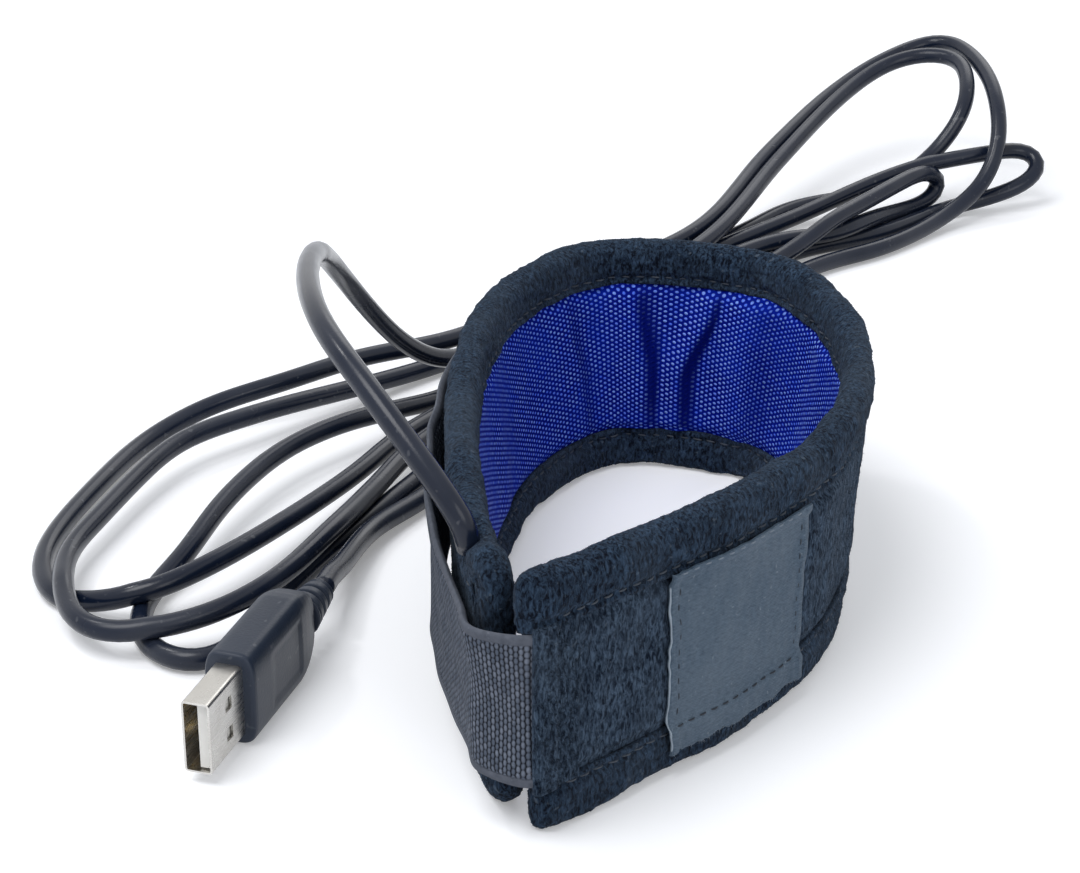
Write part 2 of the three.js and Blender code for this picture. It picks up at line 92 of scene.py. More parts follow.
def makeStudio():
    scene = bpy.context.scene
    scene.view_settings.view_transform = "Standard"
    lens = bpy.data.cameras.new("camera")
    lens.lens = view["lens"]
    lens.sensor_width = 36.0
    lens.clip_start = 0.01
    camera = bpy.data.objects.new("camera", lens)
    camera.location = [v * metre for v in view["place"]]
    camera.rotation_euler = (math.radians(90 - view["pitch"]), 0, 0)
    scene.collection.objects.link(camera)
    scene.camera = camera

    world = bpy.data.worlds.new("studio")
    scene.world = world
    world.use_nodes = True
    tree = world.node_tree
    tree.nodes.clear()
    ambient = tree.nodes.new("ShaderNodeBackground")
    ambient.inputs["Color"].default_value = (*studio["skyColour"], 1)
    ambient.inputs["Strength"].default_value = studio["ambient"]
    white = tree.nodes.new("ShaderNodeBackground")
    white.inputs["Color"].default_value = (1, 1, 1, 1)
    white.inputs["Strength"].default_value = 1.0
    mix = tree.nodes.new("ShaderNodeMixShader")
    out = tree.nodes.new("ShaderNodeOutputWorld")
    tree.links.new(seenByEye(tree), mix.inputs["Fac"])
    tree.links.new(ambient.outputs[0], mix.inputs[1])
    tree.links.new(white.outputs[0], mix.inputs[2])
    tree.links.new(mix.outputs[0], out.inputs["Surface"])

    half = studio["floorSize"] / 2
    mesh = bpy.data.meshes.new("floor")
    corners = [(x * half, y * half, -studio["floorDrop"]) for x, y in ((-1, -1), (1, -1), (1, 1), (-1, 1))]
    mesh.from_pydata(corners, [], [(0, 1, 2, 3)])
    floor = bpy.data.objects.new("floor", mesh)
    scene.collection.objects.link(floor)
    paper = bpy.data.materials.new("floorPaper")
    paper.use_nodes = True
    tree = paper.node_tree
    tree.nodes.clear()
    diffuse = tree.nodes.new("ShaderNodeBsdfDiffuse")
    diffuse.inputs["Color"].default_value = (*studio["floorColour"], 1)
    glow = tree.nodes.new("ShaderNodeEmission")
    strength = tree.nodes.new("ShaderNodeMath")
    strength.operation = "MULTIPLY"
    strength.inputs[1].default_value = studio["floorGlow"]
    tree.links.new(seenByEye(tree), strength.inputs[0])
    tree.links.new(strength.outputs[0], glow.inputs["Strength"])
    both = tree.nodes.new("ShaderNodeAddShader")
    out = tree.nodes.new("ShaderNodeOutputMaterial")
    tree.links.new(diffuse.outputs[0], both.inputs[0])
    tree.links.new(glow.outputs[0], both.inputs[1])
    tree.links.new(both.outputs[0], out.inputs["Surface"])
    floor.data.materials.append(paper)

    for name in ("softbox", "fill", "back", "spark"):
        addLamp(name, studio[name])


makeStudio()
print("camera, floor and lamps ready")


# Shapes shared by the pieces
def ease(value, low, high):  # 0 below low, 1 above high, and a level start and end between
    t = np.clip((value - low) / (high - low), 0, 1)
    return t * t * (3 - 2 * t)


def bump(value, centre, width):  # a bell of height 1
    return np.exp(-((value - centre) / width) ** 2)


def lump(u, v, size, seed, waves=14):
    # soft uneven surface from -1 to 1 or so: the sum of cosines that run every way over (u, v),
    # each about size mm long
    draw = np.random.default_rng(seed)
    angle = draw.uniform(0, 2 * np.pi, waves)
    number = 2 * np.pi / (size * draw.uniform(0.6, 1.8, waves))
    phase = draw.uniform(0, 2 * np.pi, waves)
    total = np.zeros(np.broadcast(u, v).shape)
    for a, k, p in zip(angle, number, phase):
        total = total + np.cos(k * (u * np.cos(a) + v * np.sin(a)) + p)
    return total / math.sqrt(waves) * 0.8


def smoothCurve(points, perSpan):
    # centripetal Catmull-Rom spline: each span is a cubic whose end slopes come from its neighbours,
    # with the square roots of their distances as its clock
    p = np.asarray(points, float)
    p = np.vstack([2 * p[0] - p[1], p, 2 * p[-1] - p[-2]])
    a, b, c, d = p[:-3], p[1:-2], p[2:-1], p[3:]
    first, mid, last = (np.sqrt(np.linalg.norm(y - x, axis=1))[:, None]
                        for x, y in ((a, b), (b, c), (c, d)))
    startSlope = ((b - a) / first - (c - a) / (first + mid) + (c - b) / mid) * mid
    endSlope = ((c - b) / mid - (d - b) / (mid + last) + (d - c) / last) * mid
    t = np.linspace(0, 1, perSpan, endpoint=False)[None, :, None]
    b, c, m, n = (x[:, None, :] for x in (b, c, startSlope, endSlope))
    spans = b + m * t + (3 * (c - b) - 2 * m - n) * t**2 + (2 * (b - c) + m + n) * t**3
    return np.vstack([spans.reshape(-1, p.shape[1]), p[-2]])


def lengthAlong(points):
    return np.concatenate([[0], np.cumsum(np.linalg.norm(np.diff(points, axis=0), axis=1))])


def evenly(points, spacing):  # the same curve with its points a fixed distance apart
    run = lengthAlong(points)
    at = np.linspace(0, run[-1], int(round(run[-1] / spacing)) + 1)
    return np.stack([np.interp(at, run, points[:, k]) for k in range(points.shape[1])], 1)


def meshPiece(name, vertices, faces, material, uv=None, smooth=180):
    mesh = bpy.data.meshes.new(name)
    mesh.from_pydata((np.asarray(vertices) * metre).tolist(), [], faces)
    if uv is not None:
        layer = mesh.uv_layers.new(name="cloth")
        corner = np.zeros(len(mesh.loops), np.int32)
        mesh.loops.foreach_get("vertex_index", corner)
        layer.data.foreach_set("uv", np.asarray(uv, np.float32)[corner].ravel())
    mesh.materials.append(material)
    mesh.shade_smooth()
    if smooth < 180:
        mesh.set_sharp_from_angle(angle=math.radians(smooth))
    piece = bpy.data.objects.new(name, mesh)
    bpy.context.scene.collection.objects.link(piece)
    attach(piece, "root")
    return piece


def gridFaces(rows, columns, around):
    # quads of a grid of points numbered row by row; around joins the last column to the first
    across = columns if around else columns - 1
    row, column = np.meshgrid(np.arange(rows - 1), np.arange(across), indexing="ij")
    following = (column + 1) % columns
    here = row * columns
    beyond = here + columns
    quads = np.stack([here + column, beyond + column, beyond + following, here + following], -1)
    return quads.reshape(-1, 4)


def volumeOf(points, faces):  # signed, for a closed grid of quads
    a, b, c, d = (points[faces[:, k]] for k in range(4))
    return np.sum(np.cross(a, b) * c + np.cross(a, c) * d)


def tubeMesh(grid):
    # closed skin over rings of points, with a face over each end ring, all turned outwards
    rows, columns = grid.shape[:2]
    points = grid.reshape(-1, 3)
    quads = gridFaces(rows, columns, True)
    centred = points - points.mean(0)
    startCap = list(range(columns))
    endCap = list(range((rows - 1) * columns, rows * columns))[::-1]
    if volumeOf(centred, quads) < 0:
        return points, quads[:, ::-1].tolist() + [startCap[::-1], endCap[::-1]]
    return points, quads.tolist() + [startCap, endCap]


def tubePiece(name, grid, material, uv=None):
    points, faces = tubeMesh(grid)
    flatUv = None if uv is None else uv.reshape(-1, 2)
    return meshPiece(name, points, faces, material, flatUv)


def framesAlong(path):
    # two unit directions across a path at each of its points, turned as little as possible:
    # each is the one before it with its part along the path taken away
    along = np.gradient(path, axis=0)
    along /= np.linalg.norm(along, axis=1)[:, None]
    side = np.zeros_like(path)
    current = np.cross(along[0], [0, 0, 1.0])
    if np.linalg.norm(current) < 0.1:
        current = np.cross(along[0], [1.0, 0, 0])
    for k, direction in enumerate(along):
        current = current - direction * (current @ direction)
        current = current / np.linalg.norm(current)
        side[k] = current
    return along, side, np.cross(along, side)


def roundTube(path, radius, sides):
    # circle of the given radius, one number or one for each point, carried along the path
    along, side, other = framesAlong(path)
    turn = np.linspace(0, 2 * np.pi, sides, endpoint=False)
    radius = np.broadcast_to(radius, len(path))[:, None, None]
    ring = side[:, None, :] * np.cos(turn)[None, :, None] + other[:, None, :] * np.sin(turn)[None, :, None]
    return path[:, None, :] + radius * ring


# The band's own coordinates: s along it from the front panel's end, n out of the wall, z up
loop = {
    "width": 63.4,
    "depth": 124.8,
    "height": 42.0,
    "backFlare": 6.0,
    "entryFlare": 2.5,
    "entrySlant": 2.0,
    "toOrigin": (1.2816, 3.7301),
    "shares": [
        (-0.63, -1.08), (-0.41, -0.985), (-0.11, -0.845), (0.19, -0.71), (0.44, -0.56), (0.68, -0.385),
        (0.86, -0.16), (0.955, 0.08), (0.962, 0.32), (0.885, 0.56), (0.68, 0.785), (0.4, 0.875),
        (0.06, 0.92), (-0.22, 0.92), (-0.44, 0.85), (-0.69, 0.68), (-0.85, 0.48), (-0.94, 0.24),
        (-0.985, 0), (-1, -0.24), (-0.99, -0.48), (-0.95, -0.68), (-0.88, -0.895), (-0.782, -1.043),
    ],
}
planLine = smoothCurve(np.array(loop["shares"]) * [loop["width"] / 2, loop["depth"] / 2], 40)
planRun = lengthAlong(planLine)
planSlope = np.gradient(planLine, axis=0)
planSlope /= np.linalg.norm(planSlope, axis=1)[:, None]
bandLength = planRun[-1]
bandHeight = loop["height"]


def onBand(s, n, z):
    # walk s along the plan curve, then n out across it, leaning outwards with height
    s, n, z = np.broadcast_arrays(np.asarray(s, float), n, z)
    inside = np.clip(s, 0, bandLength)
    x, y = (np.interp(inside, planRun, planLine[:, k]) for k in range(2))
    tx, ty = (np.interp(inside, planRun, planSlope[:, k]) for k in range(2))
    height = z / bandHeight - 0.5
    nearEntry = ease(s, bandLength - 30, bandLength - 5)
    deep = loop["depth"] / 2
    lean = loop["backFlare"] * ease(y, -deep, deep) + loop["entryFlare"] * nearEntry
    out = n + lean * height
    past = s - inside + loop["entrySlant"] * nearEntry * height
    dx, dy = loop["toOrigin"]
    return np.stack([x + tx * past + ty * out + dx, y + ty * past - tx * out + dy, z], -1)


def fromPlan(points):  # points of the loop's plan frame, in the part's frame
    return np.asarray(points, float) + [loop["toOrigin"][0], loop["toOrigin"][1], 0]


# Node groups and materials
def addNode(tree, kind, **inputs):
    node = tree.nodes.new("ShaderNode" + kind)
    for name, value in inputs.items():
        node.inputs[name].default_value = value
    return node


def mathNode(tree, operation, first, second=None):
    node = tree.nodes.new("ShaderNodeMath")
    node.operation = operation
    for k, value in enumerate((first, second)):
        if value is None:
            continue
        if isinstance(value, (int, float)):
            node.inputs[k].default_value = value
        else:
            tree.links.new(value, node.inputs[k])
    return node.outputs[0]


def noiseNode(tree, vector, scale, detail=2.0, rough=0.5):
    node = addNode(tree, "TexNoise", Scale=scale, Detail=detail, Roughness=rough)
    tree.links.new(vector, node.inputs["Vector"])
    return node.outputs["Fac"]


def rangeNode(tree, value, low, high, toLow=0.0, toHigh=1.0):
    node = tree.nodes.new("ShaderNodeMapRange")
    for name, number in (("From Min", low), ("From Max", high), ("To Min", toLow), ("To Max", toHigh)):
        node.inputs[name].default_value = number
    tree.links.new(value, node.inputs["Value"])
    return node.outputs["Result"]


def mixColours(tree, share, first, second):
    node = tree.nodes.new("ShaderNodeMix")
    node.data_type = "RGBA"
    for label, value in (("Factor", share), ("A", first), ("B", second)):
        socket = node.inputs[label]
        if isinstance(value, bpy.types.NodeSocket):
            tree.links.new(value, socket)
        else:
            socket.default_value = (*value, 1) if isinstance(value, tuple) else value
    return node.outputs["Result"]


def scaledVector(tree, vector, scale):
    node = tree.nodes.new("ShaderNodeMapping")
    node.inputs["Scale"].default_value = scale
    tree.links.new(vector, node.inputs["Vector"])
    return node.outputs["Vector"]


def newGroup(name, inputs, outputs):
    group = bpy.data.node_groups.new(name, "ShaderNodeTree")
    for label, kind, value in inputs:
        socket = group.interface.new_socket(label, in_out="INPUT", socket_type="NodeSocket" + kind)
        if value is not None:
            socket.default_value = value
    for label, kind in outputs:
        group.interface.new_socket(label, in_out="OUTPUT", socket_type="NodeSocket" + kind)
    return group, group.nodes.new("NodeGroupInput"), group.nodes.new("NodeGroupOutput")


def makeWeaveGroup():
    # columns Column wide of rounded floats Pitch long, every other column half a pitch further: a
    # float is one less its squared distances from its own middle, and the rest is the gap below
    group, given, result = newGroup(
        "wovenCells",
        [("Vector", "Vector", None), ("Column", "Float", 1.0), ("Pitch", "Float", 0.9),
         ("Wander", "Float", 0.12), ("Wide", "Float", 5.0), ("Tall", "Float", 6.0)],
        [("Height", "Float"), ("Thread", "Float")],
    )
    wander = addNode(group, "TexNoise", Scale=0.45, Detail=1.0)
    group.links.new(given.outputs["Vector"], wander.inputs["Vector"])
    split = group.nodes.new("ShaderNodeSeparateXYZ")
    group.links.new(given.outputs["Vector"], split.inputs[0])
    uneven = mathNode(group, "SUBTRACT", wander.outputs["Fac"], 0.5)
    shift = mathNode(group, "MULTIPLY", uneven, given.outputs["Wander"])
    straight = mathNode(group, "DIVIDE", split.outputs["X"], given.outputs["Column"])
    column = mathNode(group, "ADD", straight, shift)
    number = mathNode(group, "FLOOR", column)
    odd = mathNode(group, "MULTIPLY", mathNode(group, "FLOORED_MODULO", number, 2.0), 0.5)
    up = mathNode(group, "ADD", mathNode(group, "DIVIDE", split.outputs["Y"], given.outputs["Pitch"]), odd)
    along = mathNode(group, "ADD", up, shift)
    u = mathNode(group, "SUBTRACT", mathNode(group, "FRACT", column), 0.5)
    v = mathNode(group, "SUBTRACT", mathNode(group, "FRACT", along), 0.5)
    across, down = (mathNode(group, "MULTIPLY", mathNode(group, "MULTIPLY", way, way), given.outputs[label])
                    for way, label in ((u, "Wide"), (v, "Tall")))
    above = mathNode(group, "SUBTRACT", 1.0, mathNode(group, "ADD", across, down))
    group.links.new(mathNode(group, "MAXIMUM", above, 0.0), result.inputs["Height"])
    row = mathNode(group, "FLOOR", along)
    count = mathNode(group, "ADD", mathNode(group, "MULTIPLY", number, 12.9), row)
    random = mathNode(group, "FRACT", mathNode(group, "MULTIPLY", mathNode(group, "SINE", count), 437.5))
    group.links.new(random, result.inputs["Thread"])
    return group


def makePileGroup():
    # brushed pile: fine noise stretched along the nap, over wider patches where the nap lies another way
    group, given, result = newGroup(
        "brushedPile",
        [("Vector", "Vector", None), ("Fine", "Float", 1900.0), ("Patch", "Float", 190.0)],
        [("Height", "Float"), ("Nap", "Float")],
    )
    fine = addNode(group, "TexNoise", Detail=3.0, Roughness=0.65, Distortion=0.6)
    group.links.new(scaledVector(group, given.outputs["Vector"], (1.0, 1.0, 0.4)), fine.inputs["Vector"])
    group.links.new(given.outputs["Fine"], fine.inputs["Scale"])
    patch = addNode(group, "TexNoise", Detail=2.0, Roughness=0.5)
    group.links.new(given.outputs["Vector"], patch.inputs["Vector"])
    group.links.new(given.outputs["Patch"], patch.inputs["Scale"])
    height = mathNode(group, "ADD", mathNode(group, "MULTIPLY", fine.outputs["Fac"], 0.75),
                      mathNode(group, "MULTIPLY", patch.outputs["Fac"], 0.25))
    group.links.new(height, result.inputs["Height"])
    nap = mathNode(group, "MULTIPLY", rangeNode(group, fine.outputs["Fac"], 0.38, 0.66),
                   rangeNode(group, patch.outputs["Fac"], 0.3, 0.7, 0.6, 1.0))
    group.links.new(nap, result.inputs["Nap"])
    return group


def makeDustGroup():
    # sparse pale specks and a faint cloud, for what settles on dark cloth and vinyl
    group, given, result = newGroup(
        "settledDust",
        [("Vector", "Vector", None), ("Speck", "Float", 900.0), ("Amount", "Float", 0.5)],
        [("Mask", "Float")],
    )
    speck = addNode(group, "TexNoise", Detail=1.0, Roughness=0.4)
    group.links.new(given.outputs["Vector"], speck.inputs["Vector"])
    group.links.new(given.outputs["Speck"], speck.inputs["Scale"])
    cloud = addNode(group, "TexNoise", Scale=60.0, Detail=3.0)
    group.links.new(given.outputs["Vector"], cloud.inputs["Vector"])
    dots = rangeNode(group, speck.outputs["Fac"], 0.7, 0.78)
    haze = rangeNode(group, cloud.outputs["Fac"], 0.45, 0.75, 0.0, 0.35)
    both = mathNode(group, "MAXIMUM", dots, haze)
    group.links.new(mathNode(group, "MULTIPLY", both, given.outputs["Amount"]), result.inputs["Mask"])
    return group


weaveGroup = makeWeaveGroup()
pileGroup = makePileGroup()
dustGroup = makeDustGroup()


def newMaterial(name, roughness=0.8, metallic=0.0, **sockets):
    material = bpy.data.materials.new(name)
    material.use_nodes = True
    tree = material.node_tree
    shader = tree.nodes["Principled BSDF"]
    shader.inputs["Roughness"].default_value = roughness
    shader.inputs["Metallic"].default_value = metallic
    for label, value in sockets.items():
        shader.inputs[label.replace("_", " ")].default_value = value
    where = tree.nodes.new("ShaderNodeTexCoord")
    return material, tree, shader, where


def useGroup(tree, group, vector, **inputs):
    node = tree.nodes.new("ShaderNodeGroup")
    node.node_tree = group
    tree.links.new(vector, node.inputs["Vector"])
    for label, value in inputs.items():
        node.inputs[label].default_value = value
    return node


def dusted(tree, where, colour, tint, **inputs):  # a colour with dust of the tint settled on it
    dust = useGroup(tree, dustGroup, where.outputs["Object"], **inputs)
    return mixColours(tree, dust.outputs["Mask"], colour, tint)


def giveBump(tree, shader, height, strength, distance):
    node = addNode(tree, "Bump", Strength=strength, Distance=distance)
    tree.links.new(height, node.inputs["Height"])
    tree.links.new(node.outputs["Normal"], shader.inputs["Normal"])


def makeVelour(name, dark, light):
    material, tree, shader, where = newMaterial(name, 0.95, Sheen_Weight=0.06, Sheen_Roughness=0.45,
                                                Sheen_Tint=(0.6, 0.72, 0.9, 1), Specular_IOR_Level=0.1)
    pile = useGroup(tree, pileGroup, where.outputs["Object"])
    nap = mixColours(tree, pile.outputs["Nap"], dark, light)
    dusty = dusted(tree, where, nap, (0.14, 0.18, 0.23), Amount=0.35)
    tree.links.new(dusty, shader.inputs["Base Color"])
    giveBump(tree, shader, pile.outputs["Height"], 0.9, 0.0006)
    return material


velour = makeVelour("velour", (0.001, 0.005, 0.014), (0.078, 0.118, 0.178))
tapeVelour = makeVelour("tapeVelour", (0.0006, 0.002, 0.007), (0.042, 0.074, 0.126))
pileTips = makeVelour("pileTips", (0.003, 0.008, 0.018), (0.07, 0.105, 0.15))


def makeNylon():
    material, tree, shader, where = newMaterial("blueNylon", 0.5, Specular_IOR_Level=0.06)
    weave = useGroup(tree, weaveGroup, where.outputs["UV"],
                     Column=1.0, Pitch=0.9, Wander=0.3, Wide=6.0, Tall=10.5)
    patch = noiseNode(tree, where.outputs["Object"], 90.0, 2.0)
    floatShare = rangeNode(tree, weave.outputs["Height"], 0.1, 0.6)
    pale = mixColours(tree, weave.outputs["Thread"], (0.08, 0.18, 0.95), (0.24, 0.4, 1.0))
    cloth = mixColours(tree, floatShare, (0.0, 0.005, 0.2), pale)
    shaded = mixColours(tree, rangeNode(tree, patch, 0.4, 0.75, 0.0, 0.3), cloth, (0.0, 0.03, 0.5))
    # painted light and shade on the folds: the sides turned away from the lamp get painted shade as smooth
    # dark strips, and the sides turned towards it get paler painted light on their floats
    paintedFoldLightShade = tree.nodes.new("ShaderNodeAttribute")
    paintedFoldLightShade.attribute_name = "paintedFoldLightShade"
    dim = mixColours(tree, rangeNode(tree, paintedFoldLightShade.outputs["Fac"], 0.12, 0.5), (0.0, 0.005, 0.14), shaded)
    facing = rangeNode(tree, paintedFoldLightShade.outputs["Fac"], 0.55, 0.9, 0.0, 0.6)
    lit = mixColours(tree, mathNode(tree, "MULTIPLY", floatShare, facing), dim, (0.32, 0.45, 1.0))
    tree.links.new(lit, shader.inputs["Base Color"])
    tree.links.new(rangeNode(tree, weave.outputs["Height"], 0.2, 1.0, 0.8, 0.4), shader.inputs["Roughness"])
    giveBump(tree, shader, weave.outputs["Height"], 0.8, 0.0003)
    return material


def makeElastic():
    material, tree, shader, where = newMaterial("elastic", 0.75, Specular_IOR_Level=0.2)
    weave = useGroup(tree, weaveGroup, where.outputs["UV"],
                     Column=0.62, Pitch=1.1, Wander=0.35, Wide=3.6, Tall=2.6)
    split = tree.nodes.new("ShaderNodeSeparateXYZ")
    tree.links.new(where.outputs["UV"], split.inputs[0])
    edge = mathNode(tree, "ABSOLUTE", split.outputs["Y"])
    selvedge = rangeNode(tree, edge, 10.7, 11.0)
    bead = rangeNode(tree, weave.outputs["Height"], 0.05, 0.8)
    pale = mixColours(tree, weave.outputs["Thread"], (0.08, 0.1, 0.14), (0.165, 0.19, 0.245))
    body = mixColours(tree, bead, (0.0015, 0.003, 0.008), pale)
    grain = noiseNode(tree, where.outputs["Object"], 900.0)
    plain = mixColours(tree, grain, (0.045, 0.053, 0.07), (0.12, 0.132, 0.165))
    colour = mixColours(tree, selvedge, body, plain)
    dusty = dusted(tree, where, colour, (0.26, 0.28, 0.33), Amount=0.3, Speck=1200.0)
    tree.links.new(dusty, shader.inputs["Base Color"])
    flat = mathNode(tree, "MULTIPLY", weave.outputs["Height"], mathNode(tree, "SUBTRACT", 1.0, selvedge))
    giveBump(tree, shader, flat, 0.9, 0.0003)
    return material


def makeSatin():
    material, tree, shader, where = newMaterial("labelSatin", 0.6, Specular_IOR_Level=0.25)
    weave = useGroup(tree, weaveGroup, where.outputs["UV"],
                     Column=0.3, Pitch=0.45, Wander=0.2, Wide=3.0, Tall=3.0)
    grain = noiseNode(tree, scaledVector(tree, where.outputs["UV"], (0.9, 2.2, 1.0)), 1.2, 4.0, 0.65)
    patches = rangeNode(tree, grain, 0.34, 0.66)
    base = mixColours(tree, patches, (0.022, 0.045, 0.075), (0.075, 0.115, 0.165))
    raised = mathNode(tree, "MULTIPLY", weave.outputs["Height"], 0.3)
    threads = mixColours(tree, raised, base, (0.13, 0.17, 0.22))
    dusty = dusted(tree, where, threads, (0.28, 0.33, 0.38), Amount=0.35, Speck=1300.0)
    tree.links.new(dusty, shader.inputs["Base Color"])
    height = mathNode(tree, "ADD", mathNode(tree, "MULTIPLY", weave.outputs["Height"], 0.4), grain)
    giveBump(tree, shader, height, 0.5, 0.0002)
    return material


def makeVinyl(name, colour, roughness, grain):
    material, tree, shader, where = newMaterial(name, roughness, Specular_IOR_Level=0.3)
    fine = noiseNode(tree, where.outputs["Object"], 2600.0, 2.0)
    wide = noiseNode(tree, where.outputs["Object"], 55.0, 2.0)
    base = mixColours(tree, wide, colour, tuple(c * 1.4 for c in colour))
    dusty = dusted(tree, where, base, (0.3, 0.31, 0.33), Amount=0.16, Speck=700.0)
    tree.links.new(dusty, shader.inputs["Base Color"])
    worn = rangeNode(tree, wide, 0.3, 0.7, roughness - 0.06, roughness + 0.08)
    tree.links.new(worn, shader.inputs["Roughness"])
    giveBump(tree, shader, fine, grain, 0.0001)
    return material


def makeSteel():
    material, tree, shader, where = newMaterial("platedSteel", 0.28, 1.0)
    stretched = scaledVector(tree, where.outputs["Object"], (1.0, 1.0, 14.0))
    brushed = noiseNode(tree, stretched, 260.0, 4.0, 0.6)
    blotch = noiseNode(tree, where.outputs["Object"], 190.0, 3.0)
    colour = mixColours(tree, blotch, (0.46, 0.44, 0.41), (0.7, 0.69, 0.66))
    tree.links.new(colour, shader.inputs["Base Color"])
    tree.links.new(rangeNode(tree, brushed, 0.3, 0.7, 0.2, 0.38), shader.inputs["Roughness"])
    giveBump(tree, shader, brushed, 0.12, 0.0001)
    return material


def makePlain(name, colour, second, roughness, scale, metallic=0.0):
    material, tree, shader, where = newMaterial(name, roughness, metallic)
    grain = noiseNode(tree, where.outputs["Object"], scale, 3.0, 0.6)
    tree.links.new(mixColours(tree, grain, colour, second), shader.inputs["Base Color"])
    worn = rangeNode(tree, grain, 0.3, 0.7, roughness - 0.08, roughness + 0.08)
    tree.links.new(worn, shader.inputs["Roughness"])
    giveBump(tree, shader, grain, 0.3, 0.0001)
    return material


nylon = makeNylon()
elastic = makeElastic()
satin = makeSatin()
vinyl = makeVinyl("cordVinyl", (0.004, 0.008, 0.02), 0.22, 0.12)
mouldVinyl = makeVinyl("mouldedVinyl", (0.015, 0.022, 0.038), 0.4, 0.35)
steel = makeSteel()
insulator = makePlain("whiteInsulator", (0.72, 0.7, 0.66), (0.85, 0.84, 0.8), 0.45, 500.0)
gilt = makePlain("giltContact", (0.75, 0.52, 0.2), (0.86, 0.66, 0.3), 0.28, 900.0, 1.0)
felt = makePlain("needledFelt", (0.5, 0.49, 0.45), (0.62, 0.61, 0.57), 0.95, 1200.0)
copper = makePlain("enamelledWire", (0.5, 0.2, 0.1), (0.65, 0.3, 0.16), 0.4, 700.0, 1.0)
hookTape = makePlain("hookTape", (0.01, 0.011, 0.014), (0.05, 0.053, 0.06), 0.6, 1800.0)
thread = makePlain("thread", (0.02, 0.028, 0.04), (0.075, 0.09, 0.115), 0.7, 2200.0)
greyThread = makePlain("greyThread", (0.1, 0.125, 0.16), (0.2, 0.24, 0.29), 0.6, 2200.0)
print("materials ready")

# Lead
lead = {
    "diameter": 3.7,
    "spacing": 1.8,  # mm between the points of its route
    "sides": 14,
    "floorGap": 0.05,
    "entryFromEnd": 10.0,
    "entryOut": 1.5,
    "rounds": 90,  # of pushing apart
    "clear": 1.03,  # diameters between the middles of two stretches
    "give": (0.5, 0.7, 1.0),  # how readily it moves in x, y and z
    "tight": (0.4, 0.6),  # bend times diameter, where it starts to be eased and where it is in full
    "route": [
        # free arch down to the ground behind the band
        (-44.7, -44, 58.5), (-51.5, -32, 62.4), (-56.3, -8, 60.8), (-57.6, 27, 52.6), (-55.6, 54, 37),
        (-52, 65, 26.5), (-46.6, 73.4, 16.4), (-40, 81, 9.4), (-28, 97, 5.5), (-8, 124, 5),
        # first fold at the right
        (19.8, 155, 5), (36.9, 169.4, 6), (56.7, 185.2, 8), (69.7, 190.5, 10), (85.9, 196.1, 12),
        (95.9, 200, 12), (99.2, 197.1, 11), (97.1, 194.4, 8), (91.7, 190.8, 6), (82.3, 189.9, 3),
        (76.2, 188.9, 2), (55.2, 169.8, 2), (36.1, 157.9, 2), (0, 118, 2.5), (-26, 76, 2.5),
        # second loop at the left
        (-43.2, 51.2, 3), (-50.1, 30.9, 4), (-56.5, 12.2, 6), (-64.8, -6.8, 6), (-74.9, -16.1, 4),
        (-84.2, -18.3, 2), (-89.7, -19.2, 2), (-95.1, -15.4, 2), (-99.4, -3.5, 2), (-100.5, 10.4, 3),
        (-97.9, 19.4, 4), (-93.4, 34.8, 5), (-86.4, 51.2, 6), (-74, 63, 6), (-39.3, 97.3, 2), (-10, 128, 4),
        # high second fold at the right
        (24.3, 161.8, 5), (37.8, 179, 5), (57, 187.3, 6), (66.9, 193.4, 9), (73.6, 198.9, 13),
        (78.7, 201.4, 20), (80.8, 210.3, 25), (79.5, 223.5, 27), (73.4, 226.8, 27), (63.8, 225.5, 25),
        (53.4, 216.8, 21), (34.9, 186.7, 14), (16.4, 148.9, 8), (-12, 112, 4),
        # third loop at the left
        (-38.2, 80, 2), (-46.7, 67.8, 5), (-57, 56.8, 7), (-66.9, 45.3, 7), (-75.6, 26.8, 6),
        (-81.2, 8.4, 4), (-86, -1.4, 2), (-86, -12.5, 2), (-82.5, -20.2, 2), (-76.9, -24, 2),
        (-72.3, -23, 2), (-63.1, -0.4, 2), (-54.6, 20, 2), (-42.8, 43.4, 2), (-22, 84, 2), (2, 120, 2),
        # short fold at the right
        (34, 151, 4), (51, 169, 8), (62, 181, 10.5), (69.5, 189, 11.4), (75, 193.8, 7.2), (70.5, 188.4, 2.8),
        (61, 177.5, 2.2), (48.5, 163.4, 3), (28.5, 152.7, 4), (-6, 116, 3),
        # outermost loop at the left
        (-39.5, 69.5, 3), (-47.2, 55.5, 4), (-53.3, 39.6, 5), (-64.5, 17.7, 6), (-77.4, -1.7, 6),
        (-86.6, -7.2, 4), (-96.4, -4, 2), (-100.5, -2.5, 2), (-104.8, 6.9, 2), (-105.4, 17.7, 2),
        (-101, 38.5, 2), (-93.4, 61.1, 2), (-83.4, 71.4, 4), (-69.8, 78, 6), (-56.4, 89.5, 6),
        (-36.5, 104.7, 4), (-14, 128, 5),
        # highest fold at the right
        (13.8, 153.9, 8), (32.2, 190.2, 14), (50.2, 218.3, 20), (64.2, 229.7, 25), (77.6, 234.8, 28),
        (84.8, 217.4, 27), (86.5, 199.8, 22), (85.6, 190.9, 15), (81.5, 185.2, 8), (73.4, 179.4, 3.5),
        (64.2, 169.8, 2), (54.1, 159.7, 2), (41.4, 151.2, 2), (6, 108, 2), (-24, 66, 2),
        # and forward to the plug
        (-41.4, 34.9, 2), (-49.6, 21.4, 3), (-53.4, 5, 4.8), (-54.9, -3, 6.6), (-55.75, -9.85, 7.8),
    ],
}


def blur(values, width):
    # running mean with a bell of the given width in points, the ends held level
    reach = int(3 * width)
    weight = np.exp(-0.5 * (np.arange(-reach, reach + 1) / width) ** 2)
    weight /= weight.sum()
    padded = np.pad(values, ((reach, reach), (0, 0)), mode="edge")
    return np.stack([np.convolve(padded[:, k], weight, "valid") for k in range(values.shape[1])], 1)


